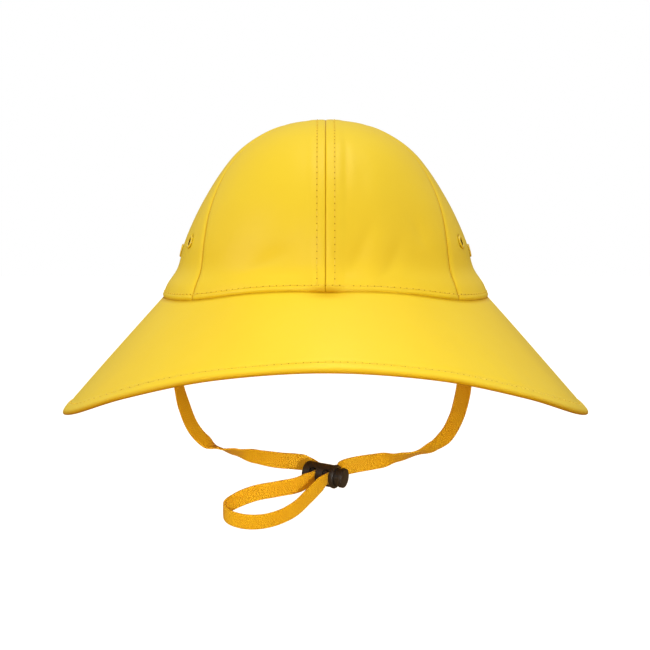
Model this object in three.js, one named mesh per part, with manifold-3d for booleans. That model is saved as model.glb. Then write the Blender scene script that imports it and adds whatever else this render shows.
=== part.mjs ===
// A yellow rain and sun hat: a crown of six sewn panels with a pair of eyelets on each side,
// a sloping brim that grows longer towards the back, and a flat chin strap that runs through
// a black barrel lock and out again in a loop. The strap hangs below the brim.
// Millimetres, +Z up, the wearer looks along -Y, and +X is the wearer's left.
// The origin is the middle of the head opening, level with the crown's seam at the sides.
import * as THREE from "three";
import { mergeVertices } from "three/addons/utils/BufferGeometryUtils.js";
import Module from "manifold-3d";

const wasm = await Module();
wasm.setup();

// Clearances between pieces that touch in the real hat
const PIECE_GAP = 0.35;

// Crown: rings from the brim seam up to the point where the six panels meet.
// height is the ring's middle, halfWidth is to the side, front and back are reaches from the
// ring's middle, setBack moves the ring towards the back, and lean tips it back in degrees.
// frontSeam is where the seam between the front and side panels crosses it, in degrees from
// the front.
const CROWN_RINGS = [
  { height: 0, halfWidth: 92.2, front: 95.5, back: 97.0, setBack: 0, lean: 0, frontSeam: 53 },
  { height: 7, halfWidth: 89.4, front: 93.5, back: 96.0, setBack: 0.3, lean: 0, frontSeam: 53.5 },
  { height: 16, halfWidth: 83.7, front: 90.5, back: 94.5, setBack: 1.0, lean: 0.5, frontSeam: 55.5 },
  { height: 30, halfWidth: 79.9, front: 88.5, back: 93.5, setBack: 2.5, lean: 2, frontSeam: 57.5 },
  { height: 45, halfWidth: 73.5, front: 84.5, back: 91.0, setBack: 4.5, lean: 4, frontSeam: 62 },
  { height: 58, halfWidth: 66.4, front: 78.5, back: 86.0, setBack: 7.0, lean: 6, frontSeam: 65.5 },
  { height: 69, halfWidth: 59.2, front: 70.5, back: 78.0, setBack: 9.5, lean: 8, frontSeam: 66.5 },
  { height: 78.5, halfWidth: 51.4, front: 60.0, back: 67.5, setBack: 12.0, lean: 9.5, frontSeam: 62.5 },
  { height: 86, halfWidth: 41.9, front: 48.5, back: 55.0, setBack: 15.0, lean: 10.5, frontSeam: 55 },
  { height: 92, halfWidth: 30.3, front: 34.5, back: 39.5, setBack: 18.0, lean: 11, frontSeam: 50.5 },
  { height: 95.2, halfWidth: 16.5, front: 18.5, back: 21.0, setBack: 20.5, lean: 11, frontSeam: 49 },
  { height: 96.2, halfWidth: 0, front: 0, back: 0, setBack: 22.0, lean: 11, frontSeam: 49 },
];
const CROWN_WALL = 1.4;
// The brim seam rises over the forehead.
const FRONT_LIFT = { rise: 8.1, halfAngle: 42.5, power: 3.1 };
// How far up the crown the lift dies away, as a share of the way to the top
const LIFT_FADE = 0.75;

// Panels: the seam between the side and back panels keeps one azimuth, in degrees
const BACK_SEAM = 121;
const PANEL_STEPS = { across: 8, up: 13 };
// The panels' tips stop this share short of the top.
const TIP_SHARE = 0.985;

// Soft dents pressed into the crown: place, reach and depth
const DENTS = [
  { azimuth: 11, level: 0.22, across: 8, up: 0.2, depth: 1.6 },
  { azimuth: -20, level: 0.17, across: 14, up: 0.08, depth: 1.2 },
  { azimuth: 38, level: 0.3, across: 13, up: 0.16, depth: 1.2 },
  { azimuth: 24, level: 0.08, across: 7, up: 0.07, depth: 0.8 },
];

// Eyelets: a pair on each side panel, for air
const EYELETS = { azimuths: [70.5, 88.5], levels: [0.273, 0.244] };
// The cloth curves in under the inner flange, so that flange sits lower by its room.
const EYELET = { hole: 2.1, tube: 2.75, flange: 3.9, rise: 0.55, room: 0.45 };
const EYELET_STEPS = { arc: 3, round: 14 };
const EYELET_PLACES = ["front", "rear"];

// Brim: its outer edge every 22.5 degrees from the front round to the back
const BRIM_EDGE = [
  { reach: 154, height: -30.7 },
  { reach: 153, height: -35.8 },
  { reach: 151, height: -48.4 },
  { reach: 149, height: -61.6 },
  { reach: 149, height: -67.0 },
  { reach: 155, height: -66.5 },
  { reach: 168, height: -63.0 },
  { reach: 179, height: -58.5 },
  { reach: 183.5, height: -56.5 },
];
const BRIM_SHEET = 2.1;
const BRIM_ROUND = 96;
const BRIM_STEPS = 4;
// The brim is sewn on this far inside the crown's outer face.
const BRIM_TUCK = 1.0;
// The brim bows up a little between its seam and its edge.
const BRIM_BOW = 0.4;
// The edge is turned under into a thicker hem, full from this share of its width on.
const HEM = { width: 8.5, thickness: 3.0, fullFrom: 0.18, arcSteps: 4 };

// Chin strap: flat woven webbing
const STRAP = { width: 9.3, thickness: 1.3, chamfer: 0.35, steps: 97 };

// Lock: a barrel with a spring-loaded button, lying across the front of the chin
const LOCK = {
  middle: [-1.5, -11.82, -100.95],
  axis: [0.9, -0.41, -0.11],
  // How far the slots tip down towards the front, in degrees
  slotTip: 9,
  slotSpacing: 8.2,
};
const BARREL = {
  radius: 6.4,
  bore: 5.25,
  end: 1.6,
  edge: 2.4,
  toFarSlot: 7.05,
  toMouth: 4.75,
  rim: 6.8,
  rimWidth: 1.8,
  rimBevel: 0.7,
};
const SLOT = { width: 4.2, height: 9.2, corner: 1.4 };
const BUTTON = {
  radius: 5.6,
  head: 2.8,
  gap: 2.2,
  edge: 0.6,
  stem: 5.0,
  slotHeight: 8.4,
  slotWidth: 4.1,
  slotShift: 2.0,
  slotCorner: 0.3,
  tip: 1.7,
};
const ROUND_STEPS = 24;
const EDGE_STEPS = 4;
// Inside the lock the webbing is squeezed narrower. It is pulled towards the button by shift
// and lies below the slots' middle by drop. It is fully squeezed up to full from the barrel,
// and free of it from free on.
const CLAMPED = { width: 6.8, thickness: 1.5, shift: 1.0, drop: 0.45, full: 0.5, free: 6.5 };

const YELLOW_CLOTH = new THREE.MeshStandardMaterial({
  name: "coated_cloth",
  color: "#f6cf2a",
  roughness: 0.45,
  metalness: 0,
});
const YELLOW_EYELET = new THREE.MeshStandardMaterial({
  name: "painted_eyelet",
  color: "#f2cb2c",
  roughness: 0.3,
  metalness: 0,
});
const WEBBING = new THREE.MeshStandardMaterial({
  name: "strap_webbing",
  color: "#eeb01c",
  roughness: 0.85,
  metalness: 0,
});
const BLACK_PLASTIC = new THREE.MeshStandardMaterial({
  name: "lock_plastic",
  color: "#2a2829",
  roughness: 0.4,
  metalness: 0,
});

const radians = THREE.MathUtils.degToRad;
const lerp = THREE.MathUtils.lerp;

// A smooth curve through one column of a table whose rows are evenly spaced
function columnCurve(rows, column) {
  return new THREE.SplineCurve(rows.map((row, i) => new THREE.Vector2(i, row[column])));
}

const crownCurves = {};
for (const column of Object.keys(CROWN_RINGS[0])) {
  crownCurves[column] = columnCurve(CROWN_RINGS, column);
}

function ringAt(level) {
  const ring = {};
  for (const [column, curve] of Object.entries(crownCurves)) {
    ring[column] = curve.getPoint(level).y;
  }
  return ring;
}

// Degrees folded into -180 to 180
function folded(degrees) {
  return THREE.MathUtils.euclideanModulo(degrees + 180, 360) - 180;
}

function seamLift(azimuth) {
  const share = Math.abs(folded(azimuth)) / FRONT_LIFT.halfAngle;
  return FRONT_LIFT.rise * Math.exp(-Math.pow(share, FRONT_LIFT.power));
}

// A point on the crown's outer face before its dents: azimuth in degrees, level from 0 to 1
function smoothCrown(azimuth, level) {
  const ring = ringAt(level);
  const a = radians(azimuth);
  const reach = Math.cos(a) > 0 ? ring.front : ring.back;
  const x = ring.halfWidth * Math.sin(a);
  const y = -reach * Math.cos(a);
  const fade = Math.max(0, 1 - level / LIFT_FADE);
  const lifted = seamLift(azimuth) * fade * fade;
  const z = ring.height + lifted - y * Math.tan(radians(ring.lean));
  return new THREE.Vector3(x, y + ring.setBack, z);
}

// The outward direction of a surface given by a function of two numbers
function outwardNormal(surface, a, b, stepA, stepB) {
  const alongA = surface(a + stepA, b).sub(surface(a - stepA, b));
  const alongB = surface(a, b + stepB).sub(surface(a, b - stepB));
  return alongA.cross(alongB).normalize();
}

// Taken a little inside the crown's two ends, where its surface still runs on both ways
function crownNormal(azimuth, level) {
  const inside = THREE.MathUtils.clamp(level, 0.01, 0.98);
  return outwardNormal(smoothCrown, azimuth, inside, 0.5, 0.005);
}

function dentDepth(azimuth, level) {
  let depth = 0;
  for (const dent of DENTS) {
    const across = folded(azimuth - dent.azimuth) / dent.across;
    const up = (level - dent.level) / dent.up;
    depth += dent.depth * Math.exp(-across * across - up * up);
  }
  return depth;
}

// A point on the crown, rise millimetres out from its outer face
function crownPoint(azimuth, level, rise) {
  const normal = crownNormal(azimuth, level);
  return smoothCrown(azimuth, level).addScaledVector(normal, rise - dentDepth(azimuth, level));
}

// Moves every vertex of a geometry through a function and leaves only merged positions
function reshaped(geometry, move) {
  geometry.deleteAttribute("normal");
  geometry.deleteAttribute("uv");
  const position = geometry.getAttribute("position");
  const point = new THREE.Vector3();
  for (let i = 0; i < position.count; i++) {
    point.fromBufferAttribute(position, i);
    const moved = move(point);
    position.setXYZ(i, moved.x, moved.y, moved.z);
  }
  return mergeVertices(geometry, 1e-4);
}

// Seams: where each crosses a ring, in degrees from the front
const SEAMS = {
  front: () => 0,
  frontSide: (ring) => ring.frontSeam,
  backSide: () => BACK_SEAM,
  back: () => 180,
};

// One sewn panel between two seams: a box of unit size bent onto the crown.
// side is 1 for the wearer's left and -1 for the wearer's right.
function panelGeometry(fromSeam, toSeam, side) {
  const box = new THREE.BoxGeometry(1, 1, 1, PANEL_STEPS.across, PANEL_STEPS.up, 1);
  return reshaped(box, (corner) => {
    const level = TIP_SHARE * (corner.y + 0.5);
    const ring = ringAt(level);
    const inset = THREE.MathUtils.radToDeg(PIECE_GAP / 2 / Math.max(ring.halfWidth, 1));
    const from = fromSeam(ring) + inset;
    const to = toSeam(ring) - inset;
    const share = side > 0 ? corner.x + 0.5 : 0.5 - corner.x;
    return crownPoint(side * lerp(from, to, share), level, (corner.z - 0.5) * CROWN_WALL);
  });
}

// Solids of the boolean library, made from merged three.js geometry and back
function solidOf(geometry) {
  const merged = geometry.clone();
  merged.deleteAttribute("normal");
  merged.deleteAttribute("uv");
  const closed = mergeVertices(merged, 1e-4);
  return new wasm.Manifold(
    new wasm.Mesh({
      numProp: 3,
      vertProperties: closed.getAttribute("position").array,
      triVerts: new Uint32Array(closed.getIndex().array),
    }),
  );
}

function geometryOf(solid) {
  const mesh = solid.getMesh();
  const geometry = new THREE.BufferGeometry();
  geometry.setAttribute("position", new THREE.BufferAttribute(mesh.vertProperties, mesh.numProp));
  geometry.setIndex(new THREE.BufferAttribute(mesh.triVerts, 1));
  return geometry;
}

function namedMesh(name, geometry, material) {
  const mesh = new THREE.Mesh(geometry, material);
  mesh.name = name;
  return mesh;
}

// The turn that takes +Y, a lathe's axis, to a direction
function turnFromY(direction) {
  return new THREE.Quaternion().setFromUnitVectors(new THREE.Vector3(0, 1, 0), direction);
}

// Where an eyelet sits: on the crown's outer face, looking out of it
function eyeletPlace(side, which) {
  const azimuth = side * EYELETS.azimuths[which];
  const level = EYELETS.levels[which];
  return {
    point: crownPoint(azimuth, level, 0),
    normal: crownNormal(azimuth, level),
  };
}

// A hole through a side panel for one eyelet's tube
function eyeletHole(side, which) {
  const place = eyeletPlace(side, which);
  const radius = EYELET.tube + PIECE_GAP;
  const depth = 8 * CROWN_WALL;
  const drill = new THREE.CylinderGeometry(radius, radius, depth, EYELET_STEPS.round);
  drill.applyQuaternion(turnFromY(place.normal));
  drill.translate(place.point.x, place.point.y, place.point.z);
  return solidOf(drill);
}

// A rolled metal eyelet: a tube with a rounded flange outside and a plain one inside
function eyeletGeometry() {
  const outside = PIECE_GAP;
  const inside = -CROWN_WALL - PIECE_GAP - EYELET.room;
  const rollWidth = (EYELET.flange - EYELET.hole) / 2;
  const middle = EYELET.hole + rollWidth;
  const profile = [];
  for (let i = 0; i <= 2 * EYELET_STEPS.arc; i++) {
    const a = (Math.PI * i) / (2 * EYELET_STEPS.arc);
    profile.push(
      new THREE.Vector2(middle + rollWidth * Math.cos(a), outside + EYELET.rise * Math.sin(a)),
    );
  }
  profile.push(new THREE.Vector2(EYELET.hole, inside - EYELET.rise));
  profile.push(new THREE.Vector2(EYELET.flange, inside - EYELET.rise));
  profile.push(new THREE.Vector2(EYELET.flange, inside));
  profile.push(new THREE.Vector2(EYELET.tube, inside));
  profile.push(new THREE.Vector2(EYELET.tube, outside));
  profile.push(profile[0].clone());
  return new THREE.LatheGeometry(profile, EYELET_STEPS.round);
}

// Brim
const seamRing = (azimuth) => smoothCrown(azimuth, 0);
const edgePoints = [];
for (let i = 0; i < 2 * (BRIM_EDGE.length - 1); i++) {
  const row = BRIM_EDGE[Math.min(i, 2 * (BRIM_EDGE.length - 1) - i)];
  const a = (Math.PI * i) / (BRIM_EDGE.length - 1);
  edgePoints.push(new THREE.Vector3(row.reach * Math.sin(a), -row.reach * Math.cos(a), row.height));
}
const brimEdge = new THREE.CatmullRomCurve3(edgePoints, true, "catmullrom", 0.5);

function brimRoot(azimuth) {
  const seam = seamRing(azimuth);
  const inward = new THREE.Vector3(-Math.sin(radians(azimuth)), Math.cos(radians(azimuth)), 0);
  seam.addScaledVector(inward, BRIM_TUCK);
  seam.z -= PIECE_GAP + BRIM_SHEET / 2;
  return seam;
}

// A point in the middle of the brim's sheet: share runs from the seam, 0, to the edge, 1
function brimMiddle(azimuth, share) {
  const root = brimRoot(azimuth);
  const edge = brimEdge.getPoint(THREE.MathUtils.euclideanModulo(azimuth, 360) / 360);
  const bow = BRIM_BOW * 4 * share * (1 - share);
  const point = root.lerp(edge, share);
  point.z += bow;
  return point;
}

function brimNormal(azimuth, share) {
  return outwardNormal(
    (s, a) => brimMiddle(a, s),
    THREE.MathUtils.clamp(share, 0.02, 0.98),
    azimuth,
    0.01,
    0.5,
  );
}

// The brim's cross-section: the sheet, and the hem with its rounded edge.
// x is the share of the sheet up to the hem's stitch line, or 1 and more in the hem,
// where one unit is one hem width; y is the height off the sheet's middle.
function brimProfile() {
  const half = BRIM_SHEET / 2;
  const fat = HEM.thickness / 2;
  const nose = 1 - fat / HEM.width;
  const profile = [];
  for (let i = 0; i <= BRIM_STEPS; i++) {
    profile.push(new THREE.Vector2(i / BRIM_STEPS, half));
  }
  profile.push(new THREE.Vector2(1 + HEM.fullFrom, fat));
  for (let i = 0; i <= HEM.arcSteps; i++) {
    const a = Math.PI / 2 - (Math.PI * i) / HEM.arcSteps;
    profile.push(
      new THREE.Vector2(1 + nose + (fat / HEM.width) * Math.cos(a), fat * Math.sin(a)),
    );
  }
  profile.push(new THREE.Vector2(1 + HEM.fullFrom, -fat));
  for (let i = BRIM_STEPS; i >= 0; i--) {
    profile.push(new THREE.Vector2(i / BRIM_STEPS, -half));
  }
  profile.push(profile[0].clone());
  return profile;
}

function brimGeometry() {
  const profile = brimProfile();
  // The lathe needs a radius, so the section is turned at this distance and taken back.
  const away = 10;
  const section = profile.map((p) => new THREE.Vector2(p.x + away, p.y));
  section.reverse();
  const lathe = new THREE.LatheGeometry(section, BRIM_ROUND);
  return reshaped(lathe, (corner) => {
    const azimuth = THREE.MathUtils.radToDeg(Math.atan2(corner.x, corner.z));
    const along = Math.hypot(corner.x, corner.z) - away;
    const length = brimMiddle(azimuth, 0).distanceTo(brimMiddle(azimuth, 1));
    const sheetShare = 1 - HEM.width / length;
    const share = along <= 1 ? along * sheetShare : sheetShare + (along - 1) * (1 - sheetShare);
    return brimMiddle(azimuth, share).addScaledVector(brimNormal(azimuth, share), corner.y);
  });
}

// Lock
const lockMiddle = new THREE.Vector3(...LOCK.middle);
const lockAxis = new THREE.Vector3(...LOCK.axis).normalize();
// Out of the slots: towards the front and tipped down, square to the axis
const slotOut = new THREE.Vector3(
  0,
  -Math.cos(radians(LOCK.slotTip)),
  -Math.sin(radians(LOCK.slotTip)),
);
slotOut.addScaledVector(lockAxis, -slotOut.dot(lockAxis)).normalize();
const slotDown = new THREE.Vector3().crossVectors(lockAxis, slotOut).normalize();

// The lock's own frame: x along the axis to the button, y out of the slots, z down the slots
const lockFrame = new THREE.Matrix4().makeBasis(lockAxis, slotOut, slotDown);
lockFrame.setPosition(lockMiddle);

function placedInLock(geometry) {
  return geometry.applyMatrix4(lockFrame);
}

// A lathe whose profile is given as [distance along the axis, radius]
function turned(pairs) {
  const profile = pairs.map(([along, radius]) => new THREE.Vector2(radius, -along)).reverse();
  const geometry = new THREE.LatheGeometry(profile, ROUND_STEPS);
  geometry.rotateZ(Math.PI / 2);
  return geometry;
}

// A cutter for a slot with rounded corners through the lock, at a place along the axis
function slotCutter(along, width, height, corner) {
  const x = width / 2 - corner;
  const y = height / 2 - corner;
  const shape = new THREE.Shape();
  shape.absarc(x, y, corner, 0, Math.PI / 2, false);
  shape.absarc(-x, y, corner, Math.PI / 2, Math.PI, false);
  shape.absarc(-x, -y, corner, Math.PI, 1.5 * Math.PI, false);
  shape.absarc(x, -y, corner, 1.5 * Math.PI, 2 * Math.PI, false);
  const depth = 4 * BARREL.radius;
  const cutter = new THREE.ExtrudeGeometry(shape, { depth, bevelEnabled: false, curveSegments: 3 });
  cutter.translate(0, 0, -depth / 2);
  cutter.rotateX(Math.PI / 2);
  cutter.translate(along, 0, 0);
  return solidOf(cutter);
}

const slotPlaces = [-LOCK.slotSpacing / 2, LOCK.slotSpacing / 2];
const barrelBack = slotPlaces[0] - BARREL.toFarSlot;
const barrelMouth = slotPlaces[1] + BARREL.toMouth;

// The points between the two ends of a quarter-round edge
function roundedCorner(pairs, along, radius, edge, towards) {
  for (let i = 1; i < EDGE_STEPS; i++) {
    const a = (Math.PI / 2) * (i / EDGE_STEPS);
    const out = towards < 0 ? a : Math.PI / 2 - a;
    pairs.push([
      along - towards * edge * (1 - Math.cos(out)),
      radius - edge + edge * Math.sin(out),
    ]);
  }
}

function barrelGeometry() {
  const pairs = [[barrelBack, 0], [barrelBack, BARREL.radius - BARREL.edge]];
  roundedCorner(pairs, barrelBack, BARREL.radius, BARREL.edge, -1);
  pairs.push([barrelBack + BARREL.edge, BARREL.radius]);
  pairs.push([barrelMouth - BARREL.rimWidth - BARREL.rimBevel, BARREL.radius]);
  pairs.push([barrelMouth - BARREL.rimWidth, BARREL.rim]);
  pairs.push([barrelMouth - BARREL.rimBevel, BARREL.rim]);
  pairs.push([barrelMouth, BARREL.radius]);
  pairs.push([barrelMouth, BARREL.bore]);
  pairs.push([barrelBack + BARREL.end, BARREL.bore]);
  pairs.push([barrelBack + BARREL.end, 0]);
  let solid = solidOf(turned(pairs));
  for (const along of slotPlaces) {
    solid = solid.subtract(slotCutter(along, SLOT.width, SLOT.height, SLOT.corner));
  }
  return placedInLock(geometryOf(solid));
}

function buttonGeometry() {
  const headBack = barrelMouth + BUTTON.gap;
  const face = headBack + BUTTON.head;
  const tip = slotPlaces[0] + BUTTON.slotShift - BUTTON.slotWidth / 2 - BUTTON.tip;
  const pairs = [[tip, 0], [tip, BUTTON.stem], [headBack, BUTTON.stem]];
  pairs.push([headBack, BUTTON.radius - BUTTON.edge]);
  roundedCorner(pairs, headBack, BUTTON.radius, BUTTON.edge, -1);
  pairs.push([headBack + BUTTON.edge, BUTTON.radius]);
  pairs.push([face - BUTTON.edge, BUTTON.radius]);
  roundedCorner(pairs, face, BUTTON.radius, BUTTON.edge, 1);
  pairs.push([face, BUTTON.radius - BUTTON.edge]);
  pairs.push([face, 0]);
  let solid = solidOf(turned(pairs));
  for (const along of slotPlaces) {
    const place = along + BUTTON.slotShift;
    solid = solid.subtract(
      slotCutter(place, BUTTON.slotWidth, BUTTON.slotHeight, BUTTON.slotCorner),
    );
  }
  return placedInLock(geometryOf(solid));
}

// A point in the lock's frame, as world coordinates
function lockPoint(along, out, down) {
  return new THREE.Vector3(along, out, down).applyMatrix4(lockFrame);
}

// Strap: its route from the wearer's right, through the lock and its loop, to the wearer's left.
// Each row has the point, and the direction across the webbing's width.
function strapRoute() {
  const across = slotDown.toArray();
  const clamped = slotPlaces.map((along) => along + CLAMPED.shift);
  const beside = (along, out, down) => [...lockPoint(along, out, down).toArray(), ...across];
  const through = (along, outs) => outs.map((out) => beside(along, out, CLAMPED.drop));
  return [
    // x, y, z, across x, across y, across z
    [-81.8, 3, 13, 0, 1, 0],
    [-86.5, 3, 4.5, 0, 1, 0],
    [-87.6, 2, -9, 0.1, 1, 0],
    [-86.4, 0, -30, 0.35, 0.9, 0],
    [-83.6, -2, -50, 0.5, 0.85, 0],
    [-80.0, -3, -64, 0.65, 0.7, 0.1],
    [-75.1, -3, -75.5, 0.65, 0.75, 0.3],
    [-68.3, -2, -83.2, 0.55, 0.75, 0.35],
    [-60.5, -1, -87.2, 0.1, 1, -0.1],
    [-51, 0, -89.6, -0.1, 0.9, -0.5],
    [-40, 1, -92.2, -0.1, 0.45, -0.9],
    [-27, 2, -94.5, -0.05, 0.1, -1],
    [-17, 3, -95.4, 0, 0, -1],
    [-10.6, 2.4, -96.3, 0, 0, -1],
    beside(-7.8, -10.4, 1.1),
    beside(-4.6, -9.6, 1.2),
    ...through(clamped[0], [-7.2, -4, 0, 4, 8]),
    [-15.5, -23.5, -105.3, 0.1, 0.2, -1],
    [-27, -27, -107.2, 0.1, 0.2, -1],
    [-40, -29, -109.5, 0.1, 0.2, -1],
    [-50.5, -31, -113.5, 0.05, 0.25, -1],
    [-56.3, -37, -117, 0, 0.35, -1],
    [-54, -44, -120.2, -0.05, 0.4, -1],
    [-46, -48, -122.4, -0.1, 0.4, -1],
    [-36, -48.5, -122.6, -0.1, 0.4, -1],
    [-26, -45, -120.7, 0, 0.4, -1],
    [-16.8, -38.5, -116.7, 0.1, 0.33, -1],
    [-9.2, -31, -110.5, 0.1, 0.28, -1],
    ...through(clamped[1], [8, 4, 0, -4, -7.4]),
    [9.0, -3.2, -98.9, 0, 0, -1],
    [12.5, -0.9, -97.8, 0, 0, -1],
    [19, -0.7, -96.4, 0, 0, -1],
    [30.5, -1, -94.5, 0, 0.25, -1],
    [41, -0.5, -92.7, 0, 0.8, -0.58],
    [51.5, -0.5, -90.2, 0.1, 0.95, -0.3],
    [61, -1, -86.3, 0.35, 0.7, -0.6],
    [68.5, -1.5, -80.3, 0.66, 0.4, -0.6],
    [74.2, -2, -70, 0.88, 0.35, -0.3],
    [77.5, -2, -58.5, 0.95, 0.3, -0.1],
    [79.8, -1, -45, 0.9, 0.4, 0],
    [83.8, 0, -27, 0.6, 0.8, 0],
    [87.3, 2, -9, 0.1, 1, 0],
    [86.5, 3, 4.5, 0, 1, 0],
    [81.8, 3, 13, 0, 1, 0],
  ];
}

// How squeezed the webbing is at a point: 1 in the lock's middle and 0 clear of it
function squeeze(point) {
  const local = point.clone().applyMatrix4(lockFrame.clone().invert());
  const aside = Math.max(barrelBack - local.x, local.x - barrelMouth);
  const away = Math.max(Math.abs(local.y) - BARREL.radius, aside);
  return 1 - THREE.MathUtils.smoothstep(away, CLAMPED.full, CLAMPED.free);
}

function strapGeometry() {
  const rows = strapRoute();
  const route = new THREE.CatmullRomCurve3(
    rows.map(([x, y, z]) => new THREE.Vector3(x, y, z)),
    false,
    "centripetal",
  );
  const acrossAt = (t) => {
    const place = t * (rows.length - 1);
    const i = Math.min(Math.floor(place), rows.length - 2);
    const from = new THREE.Vector3(...rows[i].slice(3)).normalize();
    const to = new THREE.Vector3(...rows[i + 1].slice(3)).normalize();
    return from.lerp(to, THREE.MathUtils.smoothstep(place - i, 0, 1)).normalize();
  };
  // One unit of the outline is the webbing's whole width or thickness.
  const flat = 0.5 - STRAP.chamfer / STRAP.width;
  const upright = 0.5 - STRAP.chamfer / STRAP.thickness;
  const outline = new THREE.Shape([
    new THREE.Vector2(flat, -0.5),
    new THREE.Vector2(0.5, -upright),
    new THREE.Vector2(0.5, upright),
    new THREE.Vector2(flat, 0.5),
    new THREE.Vector2(-flat, 0.5),
    new THREE.Vector2(-0.5, upright),
    new THREE.Vector2(-0.5, -upright),
    new THREE.Vector2(-flat, -0.5),
  ]);
  const bar = new THREE.ExtrudeGeometry(outline, {
    depth: 1,
    steps: STRAP.steps,
    bevelEnabled: false,
  });
  return reshaped(bar, (corner) => {
    const t = route.getUtoTmapping(THREE.MathUtils.clamp(corner.z, 0, 1));
    const point = route.getPoint(t);
    const tangent = route.getTangent(t);
    const across = acrossAt(t);
    across.addScaledVector(tangent, -across.dot(tangent)).normalize();
    const normal = new THREE.Vector3().crossVectors(tangent, across);
    const tight = squeeze(point);
    const width = lerp(STRAP.width, CLAMPED.width, tight);
    const thickness = lerp(STRAP.thickness, CLAMPED.thickness, tight);
    return point
      .addScaledVector(across, corner.x * width)
      .addScaledVector(normal, corner.y * thickness);
  });
}

const hat = new THREE.Group();
hat.name = "rain_hat";

const SIDES = { left: 1, right: -1 };
for (const [sideName, side] of Object.entries(SIDES)) {
  const front = panelGeometry(SEAMS.front, SEAMS.frontSide, side);
  hat.add(namedMesh(`panel_front_${sideName}`, front, YELLOW_CLOTH));
  let sidePanel = solidOf(panelGeometry(SEAMS.frontSide, SEAMS.backSide, side));
  for (const [which, placeName] of EYELET_PLACES.entries()) {
    sidePanel = sidePanel.subtract(eyeletHole(side, which));
    const place = eyeletPlace(side, which);
    const eyelet = namedMesh(`eyelet_${placeName}_${sideName}`, eyeletGeometry(), YELLOW_EYELET);
    eyelet.position.copy(place.point);
    eyelet.quaternion.copy(turnFromY(place.normal));
    hat.add(eyelet);
  }
  hat.add(namedMesh(`panel_side_${sideName}`, geometryOf(sidePanel), YELLOW_CLOTH));
  const back = panelGeometry(SEAMS.backSide, SEAMS.back, side);
  hat.add(namedMesh(`panel_back_${sideName}`, back, YELLOW_CLOTH));
}
hat.add(namedMesh("brim", brimGeometry(), YELLOW_CLOTH));
hat.add(namedMesh("chin_strap", strapGeometry(), WEBBING));
hat.add(namedMesh("lock_barrel", barrelGeometry(), BLACK_PLASTIC));
hat.add(namedMesh("lock_button", buttonGeometry(), BLACK_PLASTIC));

export default hat;
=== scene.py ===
import math
from bisect import bisect_left
from functools import lru_cache

import bmesh
import bpy
from mathutils import Matrix, Vector


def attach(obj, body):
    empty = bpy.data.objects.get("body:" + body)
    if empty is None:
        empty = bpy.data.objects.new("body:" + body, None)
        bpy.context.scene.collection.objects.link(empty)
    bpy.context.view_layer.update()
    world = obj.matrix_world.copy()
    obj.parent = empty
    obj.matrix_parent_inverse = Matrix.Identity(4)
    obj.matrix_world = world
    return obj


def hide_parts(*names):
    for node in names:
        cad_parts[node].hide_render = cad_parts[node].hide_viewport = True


bl_info = {
    "name": "Sun hat with chin strap",
    "version": (1, 0, 0),
    "blender": (4, 5, 0),
    "location": "View3D > Sidebar > Sun hat",
    "description": "Dresses the packed sun hat: sewn cloth crown and brim, eyelets, webbing and lock",
    "category": "Add Mesh",
}

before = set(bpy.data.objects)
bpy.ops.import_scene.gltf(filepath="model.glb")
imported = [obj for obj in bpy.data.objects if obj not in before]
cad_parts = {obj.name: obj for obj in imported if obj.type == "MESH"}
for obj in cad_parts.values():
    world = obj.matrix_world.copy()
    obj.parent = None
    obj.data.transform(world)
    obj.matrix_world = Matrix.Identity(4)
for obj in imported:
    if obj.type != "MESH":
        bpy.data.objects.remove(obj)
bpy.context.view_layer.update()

MM = 0.001

# Crown: rings from the brim seam to the top, evenly spaced in level, in mm and degrees
RING_COLUMNS = ("height", "half_width", "front", "back", "set_back", "lean", "front_seam")
CROWN_RINGS = (
    (0, 92.2, 95.5, 97.0, 0, 0, 53),
    (7, 89.4, 93.5, 96.0, 0.3, 0, 53.5),
    (16, 83.7, 90.5, 94.5, 1.0, 0.5, 55.5),
    (30, 79.9, 88.5, 93.5, 2.5, 2, 57.5),
    (45, 73.5, 84.5, 91.0, 4.5, 4, 62),
    (58, 66.4, 78.5, 86.0, 7.0, 6, 65.5),
    (69, 59.2, 70.5, 78.0, 9.5, 8, 66.5),
    (78.5, 51.4, 60.0, 67.5, 12.0, 9.5, 62.5),
    (86, 41.9, 48.5, 55.0, 15.0, 10.5, 55),
    (92, 30.3, 34.5, 39.5, 18.0, 11, 50.5),
    (95.2, 16.5, 18.5, 21.0, 20.5, 11, 49),
    (96.2, 0, 0, 0, 22.0, 11, 49),
)
BACK_SEAM = 121
FRONT_LIFT = {"rise": 8.1, "half_angle": 42.5, "power": 3.1}
# The lift has died away at this level.
LIFT_FADE = 0.75
PANEL_ACROSS = 56
PANEL_UP = 112
# Columns crowd towards a panel's seams by this share.
SEAM_CROWDING = 0.72
# The panels end at this level, just short of the top.
TIP_LEVEL = 0.998
# Half the gap between two panels at their seam, in mm
PANEL_INSET = 0.012
# The narrowest ring that the gap is worked out for, in mm
LEAST_RING = 0.4

# Soft dents: azimuth, level, reach across and up, and depth in mm
DENTS = (
    (11, 0.22, 8, 0.2, 1.6),
    (-20, 0.17, 14, 0.08, 1.2),
    (38, 0.3, 13, 0.16, 1.2),
    (24, 0.08, 7, 0.07, 0.8),
)
# Soft folds: azimuth and level of both ends, and the reach to each side and depth in mm
FOLDS = (
    (12, 0.62, 9, 0.38, 2.4, 0.7),
    (9.5, 0.16, 18.5, 0.31, 4.2, 1.15),
    (20.5, 0.12, 31, 0.27, 3.8, 0.95),
    (40, 0.34, 43, 0.26, 4.5, 0.7),
    (-31, 0.155, -9.5, 0.26, 4.5, 0.65),
    (-5, 0.03, -7, 0.13, 2.2, 0.4),
    (6.2, 0.03, 6.8, 0.2, 2.0, 0.45),
    (19.5, 0.53, 17, 0.39, 5, 0.4),
)

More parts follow.
